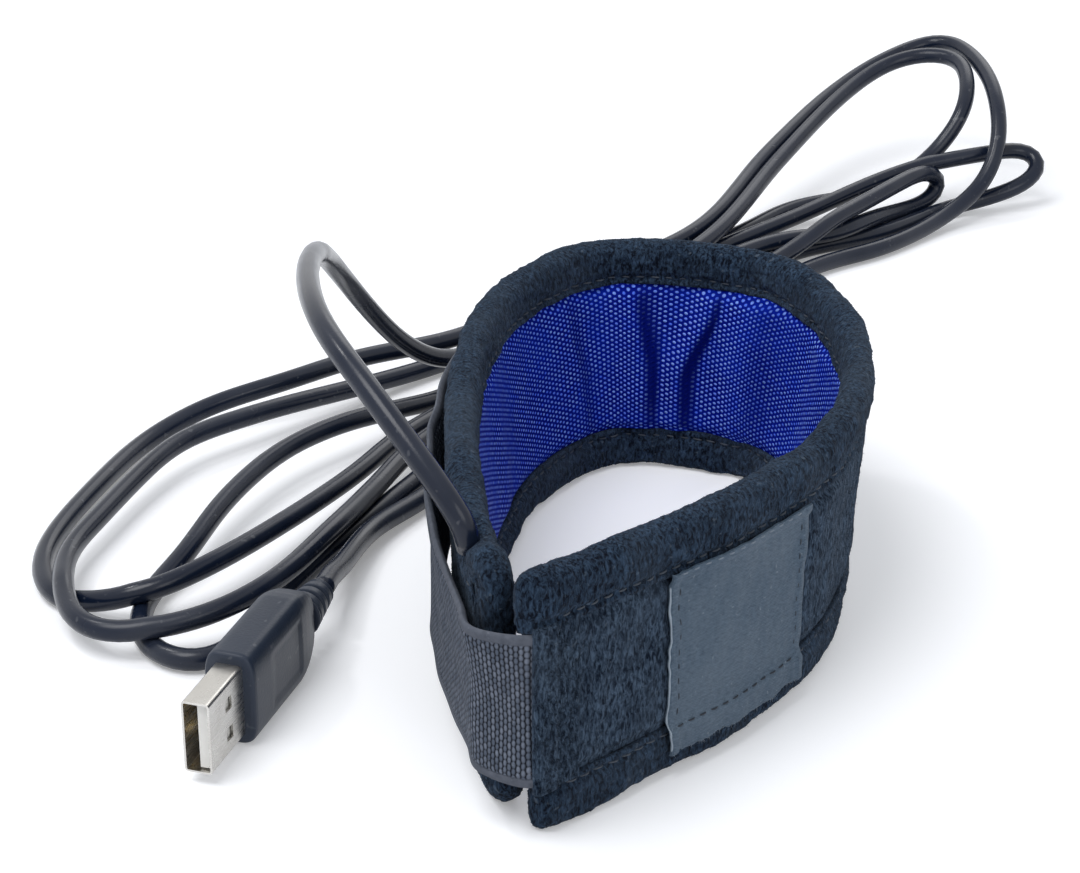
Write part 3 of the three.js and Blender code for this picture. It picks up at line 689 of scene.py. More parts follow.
def layCord(start):
    # route: the spline through the points, rounded where they turn sharply, then pushed apart
    # wherever two stretches lie closer than a diameter, mostly upwards, and kept off the ground
    diameter = lead["diameter"]
    path = evenly(smoothCurve(np.vstack([start, fromPlan(lead["route"])]), 24), lead["spacing"])
    count = len(path)
    ends = np.minimum(np.arange(count), count - 1 - np.arange(count))
    hold = ease(ends, 4, 14)[:, None]
    path = path + (blur(path, 2.4) - path) * hold
    apart = np.abs(np.arange(count)[:, None] - np.arange(count)[None, :]) > 3 * diameter / lead["spacing"]
    moved = np.zeros_like(path)
    lowest = diameter / 2 + lead["floorGap"]
    for _ in range(lead["rounds"]):
        here = path + moved
        gap = here[:, None, :] - here[None, :, :]
        gap[..., 2] += 1e-3 * np.sign(np.arange(count)[:, None] - np.arange(count)[None, :])
        distance = np.linalg.norm(gap, axis=2)
        short = np.where(apart, np.maximum(0, diameter * lead["clear"] - distance), 0)
        push = (gap / (distance[..., None] + 1e-6) * short[..., None]).sum(1)
        near = np.maximum(1, (short > 0).sum(1))[:, None]
        push = push / near * lead["give"]
        moved = moved + push * 0.6 * hold
        moved = moved + (blur(moved, 2.0) - moved) * 0.5 * hold
        here = path + moved
        bend = np.zeros(count)
        bend[1:-1] = np.linalg.norm(here[2:] - 2 * here[1:-1] + here[:-2], axis=1) / lead["spacing"] ** 2
        tight = ease(blur(bend[:, None], 1.0) * diameter, *lead["tight"])
        moved = moved + (blur(here, 2.5) - here) * tight * 0.5 * hold
        moved[:, 2] = np.maximum(moved[:, 2], lowest - path[:, 2])
    return evenly(path + moved, lead["spacing"])


def makeLead():
    entry = bandLength - lead["entryFromEnd"]
    out, height = lead["entryOut"] + np.array([0, 1.0]), bandHeight + np.array([-2.1, 2.4])
    start = onBand(np.full(2, entry), out, height)
    path = layCord(start)
    tube = roundTube(path, lead["diameter"] / 2, lead["sides"])
    piece = tubePiece("leadCord", tube, vinyl)
    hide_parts("cable", "cable_plug_end", "cable_hank", "cable_raised_turns")
    return piece, path, lengthAlong(path)[-1]


leadCord, leadPath, leadLength = makeLead()
swing = leadPath[4:] - 2 * leadPath[2:-2] + leadPath[:-4]
bendOf = np.linalg.norm(swing, axis=1) / (2 * lead["spacing"]) ** 2
print("lead laid, length in mm", round(float(leadLength)), "tightest bend",
      round(1 / float(bendOf.max()), 1), "at", leadPath[2 + int(bendOf.argmax())].round())

# Layers of the band
wall = {
    "fabricOuter": 2.3,
    "fabricInner": 1.3,
    "pinch": 0.6,
    "liningInner": -2.3,
    "step": 1.6,
    "clothEdge": 3.2,  # from the band's edges to the cloth's, under the bindings
    "endGap": 3.0,  # the same at the lead's end
    "outerPinch": 8.8,  # depth of the strips that the bindings hold
    "innerPinch": 7.4,
    "outerPoints": (720, 92, 8),  # along the band, up the face and down the back
    "liningPoints": (640, 60, 14),
}
folds = [  # folds of the lining at the back of the loop: where, how far in, and the width to either side
    {"at": 114.0, "size": 1.0, "before": 7.0, "after": 5.0, "slant": 0.0},
    {"at": 141.0, "size": 2.9, "before": 9.5, "after": 5.6, "slant": 0.0},
    {"at": 154.4, "size": 2.3, "before": 2.3, "after": 3.4, "slant": -6.0},
    {"at": 161.2, "size": 2.5, "before": 2.7, "after": 6.5, "slant": 2.5},
    {"at": 178.0, "size": 1.0, "before": 3.0, "after": 7.0, "slant": 2.0},
    {"at": 214.0, "size": 0.7, "before": 6.0, "after": 6.0, "slant": 0.0},
]
label = {
    "start": 22.5,
    "width": 31.2,
    "low": 4.2,
    "top": 34.4,
    "hem": 1.7,
    "thickness": 0.45,
    "face": 2.85,  # its face on the cloth, and how much it rises over the two bindings
    "riseFoot": 0.75,
    "riseTop": 0.55,
    "footSeam": 8.6,
}


def outwardAtHeight(z, away):  # how much of a layer's full place it has at a height: 0 under the bindings
    return ease(z, away, away + wall["step"]) * ease(bandHeight - z, away, away + wall["step"])


def clothGrid(points, rows, backRows):
    # stations along the band, with the heights of a cloth's rows up its face and down its back
    s = np.linspace(0, bandLength - wall["endGap"], points)
    foot, top = wall["clothEdge"], bandHeight - wall["clothEdge"]
    grid, height = np.meshgrid(s, np.linspace(foot, top, rows), indexing="ij")
    return s, grid, height, np.repeat(np.linspace(top, foot, backRows)[None], points, 0)


def closedSkin(s, outerN, outerZ, innerN, innerZ):
    # rings across a thin layer: up its outer face and down its inner one
    n = np.concatenate([outerN, innerN], 1)
    z = np.concatenate([outerZ, innerZ], 1)
    along = np.repeat(s[:, None], n.shape[1], 1)
    return onBand(along, n, z), np.stack([along, z], -1)


def underLabel(s, margin):
    start, end = label["start"], label["start"] + label["width"]
    return ease(s, start - margin, start) * (1 - ease(s, end, end + margin))


def makeOuterFabric():
    s, grid, height, backHeight = clothGrid(*wall["outerPoints"])
    full = outwardAtHeight(height, wall["outerPinch"])
    relief = 0.14 * lump(grid, height, 9.0, 3) + 0.1 * lump(grid * 2.0, height * 0.5, 6.0, 4)
    relief = relief + 0.07 * lump(grid * 2.6, height, 2.6, 5, 30)
    relief = relief + 0.35 * bump(grid, 62.0, 5.0) - 0.3 * bump(grid, 70.0, 4.0)
    covered = underLabel(grid, 1.0)
    outer = wall["fabricOuter"] - wall["pinch"] * (1 - full)
    outer = outer + relief * full * (1 - 0.8 * covered) - 0.2 * covered
    inner = wall["fabricInner"] - wall["pinch"] * (1 - outwardAtHeight(backHeight, wall["outerPinch"]))
    points, uv = closedSkin(s, outer, height, inner, backHeight)
    piece = tubePiece("outerVelour", points, velour, uv)
    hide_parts("outer_fabric")
    return onBand(grid, outer, height), grid, height


def makeLining():
    # the cloth stands in from the wall in sharp folds: each is a bell, steeper on one side
    points, rows, backRows = wall["liningPoints"]
    s, grid, height, backHeight = clothGrid(points, rows, backRows)
    full = outwardAtHeight(height, wall["innerPinch"])
    upper = ease(height, 17.0, 33.0)
    swell = 0
    for fold in folds:
        away = grid - fold["at"] - fold["slant"] * upper
        width = np.where(away < 0, fold["before"], fold["after"])
        swell = np.maximum(swell, fold["size"] * bump(away, 0, width))
    belly = np.clip(np.sin(np.pi * (height - 5.2) / (bandHeight - 10.4)), 0, 1) ** 0.45
    relief = swell * belly + 0.1 * lump(grid, height, 9.0, 8)
    inner = wall["liningInner"] + wall["pinch"] * (1 - full) - relief * full
    behind = inner[:, ::-1][:, np.linspace(0, rows - 1, backRows).astype(int)] + 0.5
    points, uv = closedSkin(s, inner, height, behind, backHeight)
    piece = tubePiece("blueLining", points, nylon, uv)
    # painted light and shade for the lining's colour, from each fold's slope along the band: towards 0 where a
    # side is turned away from the lamp, towards 1 where it faces it; the back rows stay at 0.5
    paintedFoldLightShade = np.clip(0.5 + 0.55 * np.gradient(inner, s, axis=0), 0, 1)
    paintedFoldLightShade = np.concatenate([paintedFoldLightShade, np.full((len(s), backRows), 0.5)], 1)
    layer = piece.data.attributes.new("paintedFoldLightShade", "FLOAT", "POINT")
    layer.data.foreach_set("value", paintedFoldLightShade.astype(np.float32).ravel())
    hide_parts("lining")


fabricFace, fabricAlong, fabricUp = makeOuterFabric()
makeLining()
print("band's layers made")

# Binding round both long edges and the lead's end
tape = {
    "thickness": 0.8,
    "outerLeg": 8.5,
    "innerLeg": 7.5,
    "radius": 2.55,
    "corner": 5.0,
    "outerStitch": 7.2,
    "innerStitch": 6.3,
    "stitchPitch": 2.7,
    "spacing": 0.62,
    "nose": 4.6,
    "footNose": 1.7,
    "swell": 0.12,
    "dipWidth": 0.6,
}


def tapePath():
    # centre line of the edge that the tape covers, in (s, z), with the way into the cloth at each
    # point: along the top to the lead's end, round it and back along the foot
    radius = tape["corner"]
    nose = -tape["nose"] * np.cos(np.linspace(0, np.pi / 2, 9)[:-1])  # past the front panel's end
    topRun = np.concatenate([nose, np.arange(0, bandLength - radius, tape["spacing"])])
    turn = np.linspace(np.pi / 2, 0, 9)[:-1]
    side = np.arange(bandHeight - radius, radius, -tape["spacing"])
    top = np.stack([topRun, np.full_like(topRun, bandHeight), 0 * topRun, 0 * topRun - 1], 1)
    upper = np.stack([bandLength - radius + radius * np.cos(turn), bandHeight - radius + radius * np.sin(turn),
                      -np.cos(turn), -np.sin(turn)], 1)
    end = np.stack([0 * side + bandLength, side, 0 * side - 1, 0 * side], 1)
    turn = np.linspace(0, -np.pi / 2, 9)
    lower = np.stack([bandLength - radius + radius * np.cos(turn), radius + radius * np.sin(turn),
                      -np.cos(turn), -np.sin(turn)], 1)
    footRun = np.where(topRun < 0, topRun * tape["footNose"] / tape["nose"], topRun)[::-1]
    foot = np.stack([footRun, 0 * topRun, 0 * topRun, 0 * topRun + 1], 1)
    return np.vstack([top, upper, end, lower, foot])


def tapeProfile(run, atEnd):
    # across the folded tape, from its outer leg's edge over the crown to its inner leg's edge, as
    # (n, depth); the tape swells between the stitching and the crown and dips at each stitch
    leg = np.where(atEnd[:, None] > 0.5, 0.62, 1.0)
    share = np.linspace(0, 1, 21)[None, :]
    outerDepth = tape["radius"] + (tape["outerLeg"] - tape["radius"]) * (1 - share) * leg
    innerDepth = tape["radius"] + (tape["innerLeg"] - tape["radius"]) * share * leg
    angle = np.linspace(0, np.pi, 17)[1:-1][None, :]
    stitch = 0.5 + 0.5 * np.cos(2 * np.pi * run / tape["stitchPitch"])[:, None]
    thick = tape["radius"] * (1 + 0.05 * lump(run, 0 * run, 16.0, 11))[:, None]
    outerN = thick + tape["swell"] * bump(outerDepth, 4.6, 1.6)
    outerN = outerN - (0.4 + 0.2 * stitch) * bump(outerDepth, tape["outerStitch"], tape["dipWidth"])
    outerN = outerN - 0.3 * ease(outerDepth, 7.9, tape["outerLeg"])
    innerN = -thick - tape["swell"] * bump(innerDepth, 4.2, 1.5)
    innerN = innerN + (0.35 + 0.25 * stitch) * bump(innerDepth, tape["innerStitch"], tape["dipWidth"])
    innerN = innerN + 0.2 * ease(innerDepth, 7.0, tape["innerLeg"])
    crownN = thick * np.cos(angle)
    crownDepth = tape["radius"] - thick * np.sin(angle)
    n = np.concatenate([outerN, crownN, innerN], 1)
    depth = np.concatenate([outerDepth, crownDepth, innerDepth], 1)
    return n, depth


def makeBinding():
    path = tapePath()
    run = lengthAlong(path[:, :2])
    atEnd = bump(path[:, 0], bandLength, 7.0) * (path[:, 0] > bandLength - 5.2)
    n, depth = tapeProfile(run, atEnd)
    across = np.arange(n.shape[1])[None, :] * 0.45
    rumple = 0.1 * lump(run[:, None], across, 5.0, 21)
    rumple = rumple + 0.08 * lump(run[:, None] * 0.6, across * 1.4, 3.0, 22)
    rumple = rumple + 0.12 * lump(run[:, None] * 1.3, across * 0.5, 7.0, 23)
    rumple = rumple + 0.075 * lump(run[:, None], across, 1.9, 25, 40)
    n = n + rumple * np.clip(n / 1.2, -1, 1)
    onTop = path[:, 3:4] < -0.5
    crown = 1 - ease(depth, 2.0, 6.0)
    depth = depth + 0.22 * lump(run[:, None], 0 * across, 18.0, 24) * crown - 0.1
    depth = depth - 0.09 * lump(run[:, None], across, 1.7, 26, 40) * crown
    # the tape puckers round the slit where the lead goes in
    gate = path[:, 0:1] - (bandLength - lead["entryFromEnd"])
    slit = onTop * bump(gate, 0, 2.4) * bump(n, lead["entryOut"], 2.2)
    pucker = 1.3 * slit - 0.5 * onTop * bump(gate, 4.6, 1.5) - 0.4 * onTop * bump(gate, -5.0, 1.6)
    depth = depth + crown * pucker
    # the nose closes in a half round: the width falls as the square root of what is left
    past = np.clip(-path[:, 0:1] / np.where(onTop, tape["nose"], tape["footNose"]), 0, 1)
    close = np.sqrt(1 - past**2)
    depth = depth + (1 - close) * 1.1 * crown
    inS, inZ = path[:, 2:3], path[:, 3:4]
    s = path[:, 0:1] + inS * depth
    z = path[:, 1:2] + inZ * depth
    z = np.where(inZ > 0.3, np.maximum(z, 0.06), z)
    outer = onBand(s, n * close, np.maximum(z, 0.05))
    innerN = n * (1 - tape["thickness"] / np.maximum(np.abs(n), 1.2)) * close
    innerDepth = depth + tape["thickness"] * np.clip(1 - depth / tape["radius"], 0, 1)
    innerZ = np.clip(path[:, 1:2] + inZ * innerDepth, 0.4, bandHeight - 0.4)
    inner = onBand(path[:, 0:1] + inS * innerDepth, innerN, innerZ)
    fewer = np.linspace(0, n.shape[1] - 1, 21).astype(int)[::-1]
    ring = np.concatenate([outer, inner[:, fewer]], 1)
    uv = np.stack(np.broadcast_arrays(run[:, None], np.arange(ring.shape[1])[None, :] * 0.5), -1)
    piece = tubePiece("velourBinding", ring, tapeVelour, uv)
    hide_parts("top_binding", "bottom_binding", "cable_end_binding")
    return outer, path


bindingFace, bindingPath = makeBinding()
print("binding made")

# Label, strap, hem and hook patch
def labelPlace(s, z):
    # how far out the label's face is: over the lower binding, down on the cloth and up again over
    # the edge of the upper one
    overLow = 1 - ease(z, 8.3, 9.6)
    overTop = ease(z, 32.2, 33.6)
    level = label["face"] + label["riseFoot"] * overLow + label["riseTop"] * overTop
    return level + 0.09 * lump(s, z, 7.0, 36) + 0.05 * lump(s * 2.0, z * 0.5, 4.5, 37)


def labelFoot(place):  # height of the label's ragged lower edge
    return label["low"] + 0.3 * lump(place, 0 * place, 6.0, 31) + 0.14 * lump(place, 0 * place, 1.1, 32)


def makeLabel():
    # flat patch with its sides turned under and stitched, a wandering left edge and a ragged foot
    # that laps over the lower binding
    across, up = np.meshgrid(np.linspace(0, 1, 150), np.linspace(0, 1, 130), indexing="ij")
    place = across * label["width"]
    z0 = labelFoot(place)
    top = label["top"] + 0.1 * lump(place, 0 * up, 3.0, 38)
    z = z0 + (top - z0) * up
    left = 0.35 * lump(z, 0 * z, 9.0, 33) + 0.1 * lump(z, 0 * z, 2.2, 34)
    right = 0.2 * lump(z, 0 * z, 9.0, 35)
    s = label["start"] + left * (1 - across) + (label["width"] + right * across) * across
    fromLeft = s - label["start"] - left
    fromRight = label["start"] + label["width"] + right - s
    n = labelPlace(s, z)
    for side in (fromLeft, fromRight):
        n = n + 0.3 * (1 - ease(side, label["hem"], label["hem"] + 0.5))
        n = n - 0.22 * bump(side, label["hem"], 0.3)
        n = n - 0.3 * (1 - np.clip(side / 0.3, 0, 1)) ** 2
    n = n - 0.3 * bump(z, label["footSeam"], 0.35) - 0.2 * (1 - np.clip((z - z0) / 0.4, 0, 1)) ** 2
    front = onBand(s, n, z)
    back = onBand(s, n - label["thickness"], z)
    rows, columns = front.shape[:2]
    points = np.concatenate([front.reshape(-1, 3), back.reshape(-1, 3)])
    quads = gridFaces(rows, columns, False)
    count = rows * columns
    rim = np.concatenate([
        np.arange(columns), np.arange(1, rows) * columns + columns - 1,
        (rows - 1) * columns + np.arange(columns - 2, -1, -1), np.arange(rows - 2, 0, -1) * columns,
    ])
    after = np.roll(rim, -1)
    side = np.stack([rim, after, after + count, rim + count], 1)
    faces = np.concatenate([quads[:, ::-1], quads + count, side[:, ::-1]])
    if volumeOf(points - points.mean(0), faces) < 0:
        faces = faces[:, ::-1]
    uv = np.tile(np.stack([s, z], -1).reshape(-1, 2), (2, 1))
    piece = meshPiece("labelPatch", points, faces.tolist(), satin, uv, 60)
    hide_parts("label_patch")
    return s[0], z[0], n[0]  # its left edge


labelEdge = makeLabel()

strap = {
    "width": 25.0,
    "thickness": 1.2,
    "tuck": 8.0,
    "reach": 108.0,
    "patchThickness": 1.4,
    "clearance": 0.3,
    "pocket": -0.2,
    "cup": 0.9,  # how far its edges curl in towards the band
    "ribPitch": 0.62,
}


def strapLine(z):
    # the strap's middle seen from above at one height: out of the pocket between the front panel's
    # layers, round the lead's end and back along the outside over the hook patch
    onPatch = wall["fabricOuter"] + 2 * strap["clearance"] + strap["patchThickness"]
    onPatch = onPatch + strap["thickness"] / 2
    stations = [(strap["tuck"], strap["pocket"]), (0.5, strap["pocket"]), (-2.6, strap["pocket"] + 1.1),
                (bandLength + 0.3, 4.2), (bandLength - 6, onPatch - 1.3), (bandLength - 15, onPatch - 1.3),
                (bandLength - 26, onPatch - 0.7)]
    stations += [(bandLength - 40 - (strap["reach"] - 40) * k / 10, onPatch) for k in range(11)]
    s, n = np.array(stations).T
    return evenly(smoothCurve(onBand(s, n, np.full_like(s, z)), 24), 0.5)


def makeStrap():
    low = (bandHeight - strap["width"]) / 2
    lower, upper = strapLine(low), strapLine(bandHeight - low)
    count = 330
    share = np.linspace(0, 1, count)
    lower, upper = (np.stack([np.interp(share, lengthAlong(c) / lengthAlong(c)[-1], c[:, k])
                              for k in range(3)], 1) for c in (lower, upper))
    along = np.gradient((lower + upper) / 2, axis=0)
    along /= np.linalg.norm(along, axis=1)[:, None]
    outward = np.stack([along[:, 1], -along[:, 0], 0 * along[:, 0]], 1)
    run = lengthAlong((lower + upper) / 2)
    half = strap["width"] / 2
    up = np.linspace(-half, half, 72)
    face = strap["thickness"] / 2 * np.sqrt(np.clip(1 - (np.abs(up) / half) ** 26, 0, 1))
    groove = 0.14 * bump(np.abs(up), half - 1.75, 0.22)
    cupped = strap["cup"] * (up / half) ** 2
    path, across = np.meshgrid(run, up, indexing="ij")
    ribs = 0.06 * np.cos(2 * np.pi * path / strap["ribPitch"]) * (np.abs(across) < half - 1.9)
    soft = 0.22 * lump(path, across, 14.0, 41) * ease(path, 8.0, 22.0)
    front = (face - groove)[None, :] + ribs + soft - cupped[None, :]
    back = -(face - groove)[None, :] + soft - cupped[None, :]
    middle = (lower[:, None, :] * (0.5 - up / (2 * half))[None, :, None]
              + upper[:, None, :] * (0.5 + up / (2 * half))[None, :, None])
    ring = np.concatenate([middle + outward[:, None, :] * front[..., None],
                           (middle + outward[:, None, :] * back[..., None])[:, ::-1]], 1)
    uv = np.concatenate([np.stack([path, across], -1), np.stack([path, across], -1)[:, ::-1]], 1)
    piece = tubePiece("elasticStrap", ring, elastic, uv)
    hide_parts("elastic_strap")


makeStrap()

hem = {"width": 5.0, "low": 7.6, "rows": 80}


def hemStrip(name, outerN, edgeN, innerN, end, seed):
    # turned strip over an edge of the panel's end: along its face, round the end and back inside
    z = np.linspace(hem["low"], bandHeight - hem["low"], hem["rows"])
    flat = np.linspace(hem["width"], end, 26)
    angle = np.linspace(np.pi / 2, 1.5 * np.pi, 13)[1:-1]
    middle, radius = (outerN + edgeN) / 2, (outerN - edgeN) / 2
    s = np.concatenate([flat, end - 0.3 + abs(radius) * 1.15 * np.cos(angle), flat[::-1]])
    n = np.concatenate([np.full(26, outerN), middle + radius * np.sin(angle), np.full(26, edgeN)])
    height, along = np.meshgrid(z, s, indexing="ij")
    out = np.repeat(n[None, :], len(z), 0)
    outside = np.repeat((np.arange(len(s)) < 31)[None, :], len(z), 0)
    sign = math.copysign(1.0, outerN - edgeN)
    thin = ease(along, 0.6, 1.2) * (outerN - innerN)
    fuzz = 0.07 * lump(along * 1.5, height, 4.0, seed) + 0.06 * lump(along * 2.0, height, 1.6, seed + 1, 30)
    out = out + outside * (sign * fuzz - thin - sign * 0.35 * bump(along, 0.8, 0.3))
    grid = onBand(along, out, height)
    piece = tubePiece(name, grid, velour, np.stack([along, height], -1))
    return piece, grid[:, :31]


def makeHem():
    outside, face = hemStrip("endHem", 3.1, 1.2, 2.4, -2.0, 51)
    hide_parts("front_end_hem")
    inside, _ = hemStrip("endHemInside", -3.0, -1.1, -2.5, -0.3, 55)
    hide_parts("front_end_hem")
    return face


hemFace = makeHem()
print("label, strap and hem made")

for node, material in (("insulation_pad", felt), ("heater_carrier", felt), ("heater_wire", copper),
                       ("lead_core_1", copper), ("lead_core_2", copper), ("splice_sleeve_1", hookTape),
                       ("splice_sleeve_2", hookTape), ("hook_patch", hookTape), ("plug_tongue", insulator),
                       ("plug_contact_1", gilt), ("plug_contact_2", gilt), ("plug_contact_3", gilt),
                       ("plug_contact_4", gilt)):
    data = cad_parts[node].data
    data.materials.clear()
    data.materials.append(material)

# Plug
plug = {
    "nose": (-70.8, -56.1, 7.8),
    "yaw": -0.313,
    "shellEdge": 0.14,
    "mouldWidth": 15.6,
    "mouldDepth": 8.4,
    "mouldStart": 12.0,
    "mouldLength": 27.0,
    "reliefLength": 8.6,
    "rings": 3,
    # the mould's outline: shares of its length, with what is taken off its wide and its thin way there
    "shares": [0, 0, 0.004, 0.012, 0.03, 0.06, 0.2, 0.4, 0.6, 0.7, 0.76, 0.82, 0.88, 0.94, 0.975, 0.99, 1],
    "narrow": [4.2, 0.9, 0.35, 0.12, 0, 0, 0, 0, 0, 0, 0.2, 0.65, 1.25, 2.1, 2.75, 3.3, 4.2],
    "thin": [2.2, 0.8, 0.3, 0.1, 0, 0, 0, 0, 0, 0, 0.1, 0.3, 0.6, 1.0, 1.3, 1.7, 2.3],
    "squareness": 4.2,
}


def onPlug(across, back, up):
    # the plug's own axes: across its thin way, back from its mouth and up its wide way
    c, s = math.cos(plug["yaw"]), math.sin(plug["yaw"])
    nose = fromPlan(plug["nose"])
    return np.stack([nose[0] + c * across - s * back, nose[1] + s * across + c * back, nose[2] + up], -1)


def makeShell():
    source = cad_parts["plug_shell"]
    mesh = source.data.copy()
    piece = bpy.data.objects.new("plugShell", mesh)
    bpy.context.scene.collection.objects.link(piece)
    weld = piece.modifiers.new("weld", "WELD")
    weld.merge_threshold = 0.00001
    bevel = piece.modifiers.new("bevel", "BEVEL")
    bevel.width = plug["shellEdge"] * metre
    bevel.segments = 2
    bevel.limit_method = "ANGLE"
    bevel.angle_limit = math.radians(40)
    mesh.materials.clear()
    mesh.materials.append(steel)
    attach(piece, "root")
    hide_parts("plug_shell")
    return piece


def superEllipse(halfAcross, halfUp, power, turn):
    # (cos, sin) of the turn, each raised to 2 / power, which squares the round outline
    c, s = np.cos(turn), np.sin(turn)
    across, up = (np.sign(v) * np.abs(v) ** (2 / power) for v in (c, s))
    return halfAcross * across, halfUp * up


def makeMould():
    count = len(plug["shares"])
    fine = np.linspace(0, count - 1, 90)
    outline = (np.interp(fine, np.arange(count), plug[key]) for key in ("shares", "narrow", "thin"))
    turn = np.linspace(0, 2 * np.pi, 72, endpoint=False)
    rows = []
    for share, small, slim in zip(*outline):
        across, up = superEllipse(plug["mouldDepth"] / 2 - slim, plug["mouldWidth"] / 2 - small,
                                  plug["squareness"], turn)
        back = np.full_like(across, plug["mouldStart"] + share * plug["mouldLength"])
        rows.append(np.stack([across, back, up], 1))
    ring = np.array(rows)
    # shallow recessed field on both wide faces
    up, back, across = ring[..., 2], ring[..., 1], ring[..., 0]
    field = ease(4.6 - np.abs(up), 0, 0.5) * ease(back, 19.0, 19.6) * ease(30.5 - back, 0, 0.6)
    across = across - np.sign(across) * 0.3 * field
    piece = tubePiece("plugMould", onPlug(across, back, up), mouldVinyl)
    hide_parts("plug_overmould")
    return piece


def makeRelief():
    # ringed cone: the radius falls from the plug to the lead, with a rounded groove between rings
    start = plug["mouldStart"] + plug["mouldLength"] + 0.1
    back = np.linspace(0, plug["reliefLength"], 76)
    share = back / plug["reliefLength"]
    cone = lead["diameter"] * (0.98 - 0.32 * share)
    phase = share * (plug["rings"] + 0.4) - 0.2
    groove = 0.75 * ease(np.cos(2 * np.pi * phase), 0.1, 0.75) * (share > 0.06) * (share < 0.97)
    radius = np.maximum(cone - groove, lead["diameter"] * 0.5 + 0.05)
    radius[0], radius[-1] = radius[0] * 0.9, lead["diameter"] * 0.52
    line = onPlug(np.zeros_like(back), start + back, np.zeros_like(back))
    piece = tubePiece("strainRelief", roundTube(line, radius, 32), mouldVinyl)
    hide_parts("plug_strain_relief")
    return piece


plugShell, plugMould, strainRelief = makeShell(), makeMould(), makeRelief()
print("plug made")

# Sewing
sewing = {
    "long": 1.9,
    "radius": 0.16,
    "sink": 0.22,
    "rings": 7,
    "sides": 6,
    "outerColumn": 4,  # columns of the binding's profile that its two seams run along
    "innerColumn": 51,
}


def sewnLine(name, line, outward, pitch, long, radius, material):
    # one rounded stitch for each pitch of the line: rings along x from -1 to 1, whose radius falls to
    # the ends and which dip by x squared into the cloth
    run = lengthAlong(line)
    at = np.arange(pitch * 0.6, run[-1] - pitch * 0.5, pitch)
    centre, ahead, out = (np.stack([np.interp(a, run, v[:, k]) for k in range(3)], 1)
                          for a, v in ((at, line), (at + 0.3, line), (at, outward)))
    along = ahead - centre
    along /= np.linalg.norm(along, axis=1)[:, None]
    side = np.cross(along, out)
    side /= np.linalg.norm(side, axis=1)[:, None]
    out = np.cross(side, along)
    x = np.linspace(-1, 1, sewing["rings"])
    turn = np.linspace(0, 2 * np.pi, sewing["sides"], endpoint=False)
    thick = radius * (1 - 0.75 * x**6)
    middle = (centre[:, None] + along[:, None] * (x * long / 2)[None, :, None]
              - out[:, None] * (sewing["sink"] * x**2)[None, :, None])
    ring = side[:, None] * np.cos(turn)[None, :, None] + out[:, None] * np.sin(turn)[None, :, None]
    ring = ring[:, None]
    points = middle[:, :, None] + ring * thick[None, :, None, None]
    one = gridFaces(sewing["rings"], sewing["sides"], True)
    size = sewing["rings"] * sewing["sides"]
    first = np.arange(len(at)) * size
    if volumeOf(points[0].reshape(-1, 3) - centre[0], one) < 0:
        one = one[:, ::-1]
        cap = np.arange(sewing["sides"])[::-1]
    else:
        cap = np.arange(sewing["sides"])
    faces = (first[:, None, None] + one[None]).reshape(-1, 4).tolist()
    faces += (first[:, None] + cap[None]).tolist()
    faces += (first[:, None] + size - 1 - cap[None]).tolist()
    meshPiece(name, points.reshape(-1, 3), faces, material)


def outFrom(s, z, sign=1.0):
    return sign * (onBand(s, 1.0, z) - onBand(s, 0.0, z))


def sewEverything():
    path = bindingPath
    for name, column, sign in (("outerSeam", sewing["outerColumn"], 1),
                               ("innerSeam", sewing["innerColumn"], -1)):
        for edge, rows in (("Top", path[:, 3] < -0.9), ("Foot", path[:, 3] > 0.9)):
            rows = rows & (path[:, 0] > 1.0)
            out = outFrom(path[rows, 0], bandHeight / 2, sign)
            line = bindingFace[rows, column] + out * 0.08
            sewnLine(name + edge, line, out, tape["stitchPitch"], sewing["long"], sewing["radius"], thread)
    z = np.linspace(9.4, 32.6, 60)
    for name, s in (("labelSeamLeft", label["start"] + label["hem"] + 0.15),
                    ("labelSeamRight", label["start"] + label["width"] - label["hem"])):
        s = np.full_like(z, s)
        wander = 0.3 * lump(z, 0 * z, 9.0, 33) if name.endswith("Left") else 0 * z
        line = onBand(s + wander, labelPlace(s, z) + 0.06, z)
        sewnLine(name, line, outFrom(s, z), 2.5, 1.6, 0.13, darkThread)
    s = np.linspace(label["start"] + 0.6, label["start"] + label["width"] - 0.6, 80)
    for name, z, lift, material in (("labelSeamFoot", label["footSeam"], -0.12, darkThread),
                                    ("labelSeamTop", 34.0, 0.02, greyThread)):
        z = np.full_like(s, z)
        sewnLine(name, onBand(s, labelPlace(s, z) + lift, z), outFrom(s, z), 2.4, 1.5, 0.14, material)


darkThread = makePlain("darkThread", (0.004, 0.008, 0.016), (0.02, 0.028, 0.042), 0.7, 2200.0)
# pale: a painted highlight for the label's folded left edge, and the colour of the cut threads at its foot
foldHighlightAndFrayThread = makePlain("foldHighlightAndFrayThread", (0.2, 0.25, 0.3), (0.36, 0.42, 0.49), 0.65, 1500.0)
sewEverything()


def makeLabelFold():
    # turned edge at the label's left, coloured pale as a painted highlight where the fold faces the lamp
    s, z, n = labelEdge
    keep = (z > 4.6) & (z < 32.4)
    line = onBand(s[keep] - 0.04, n[keep] - 0.02, z[keep])
    line = evenly(line, 0.3)
    radius = 0.15 + 0.05 * lump(lengthAlong(line), np.zeros(len(line)), 2.5, 71)
    radius[[0, -1]] = 0.03
    tubePiece("labelFold", roundTube(line, radius, 8), foldHighlightAndFrayThread)


makeLabelFold()
print("sewing made")

# Pile: short fibres standing on the velour
pile = {"fabric": 28000, "binding": 27000, "hem": 1600, "length": (0.3, 0.85), "width": 0.05}


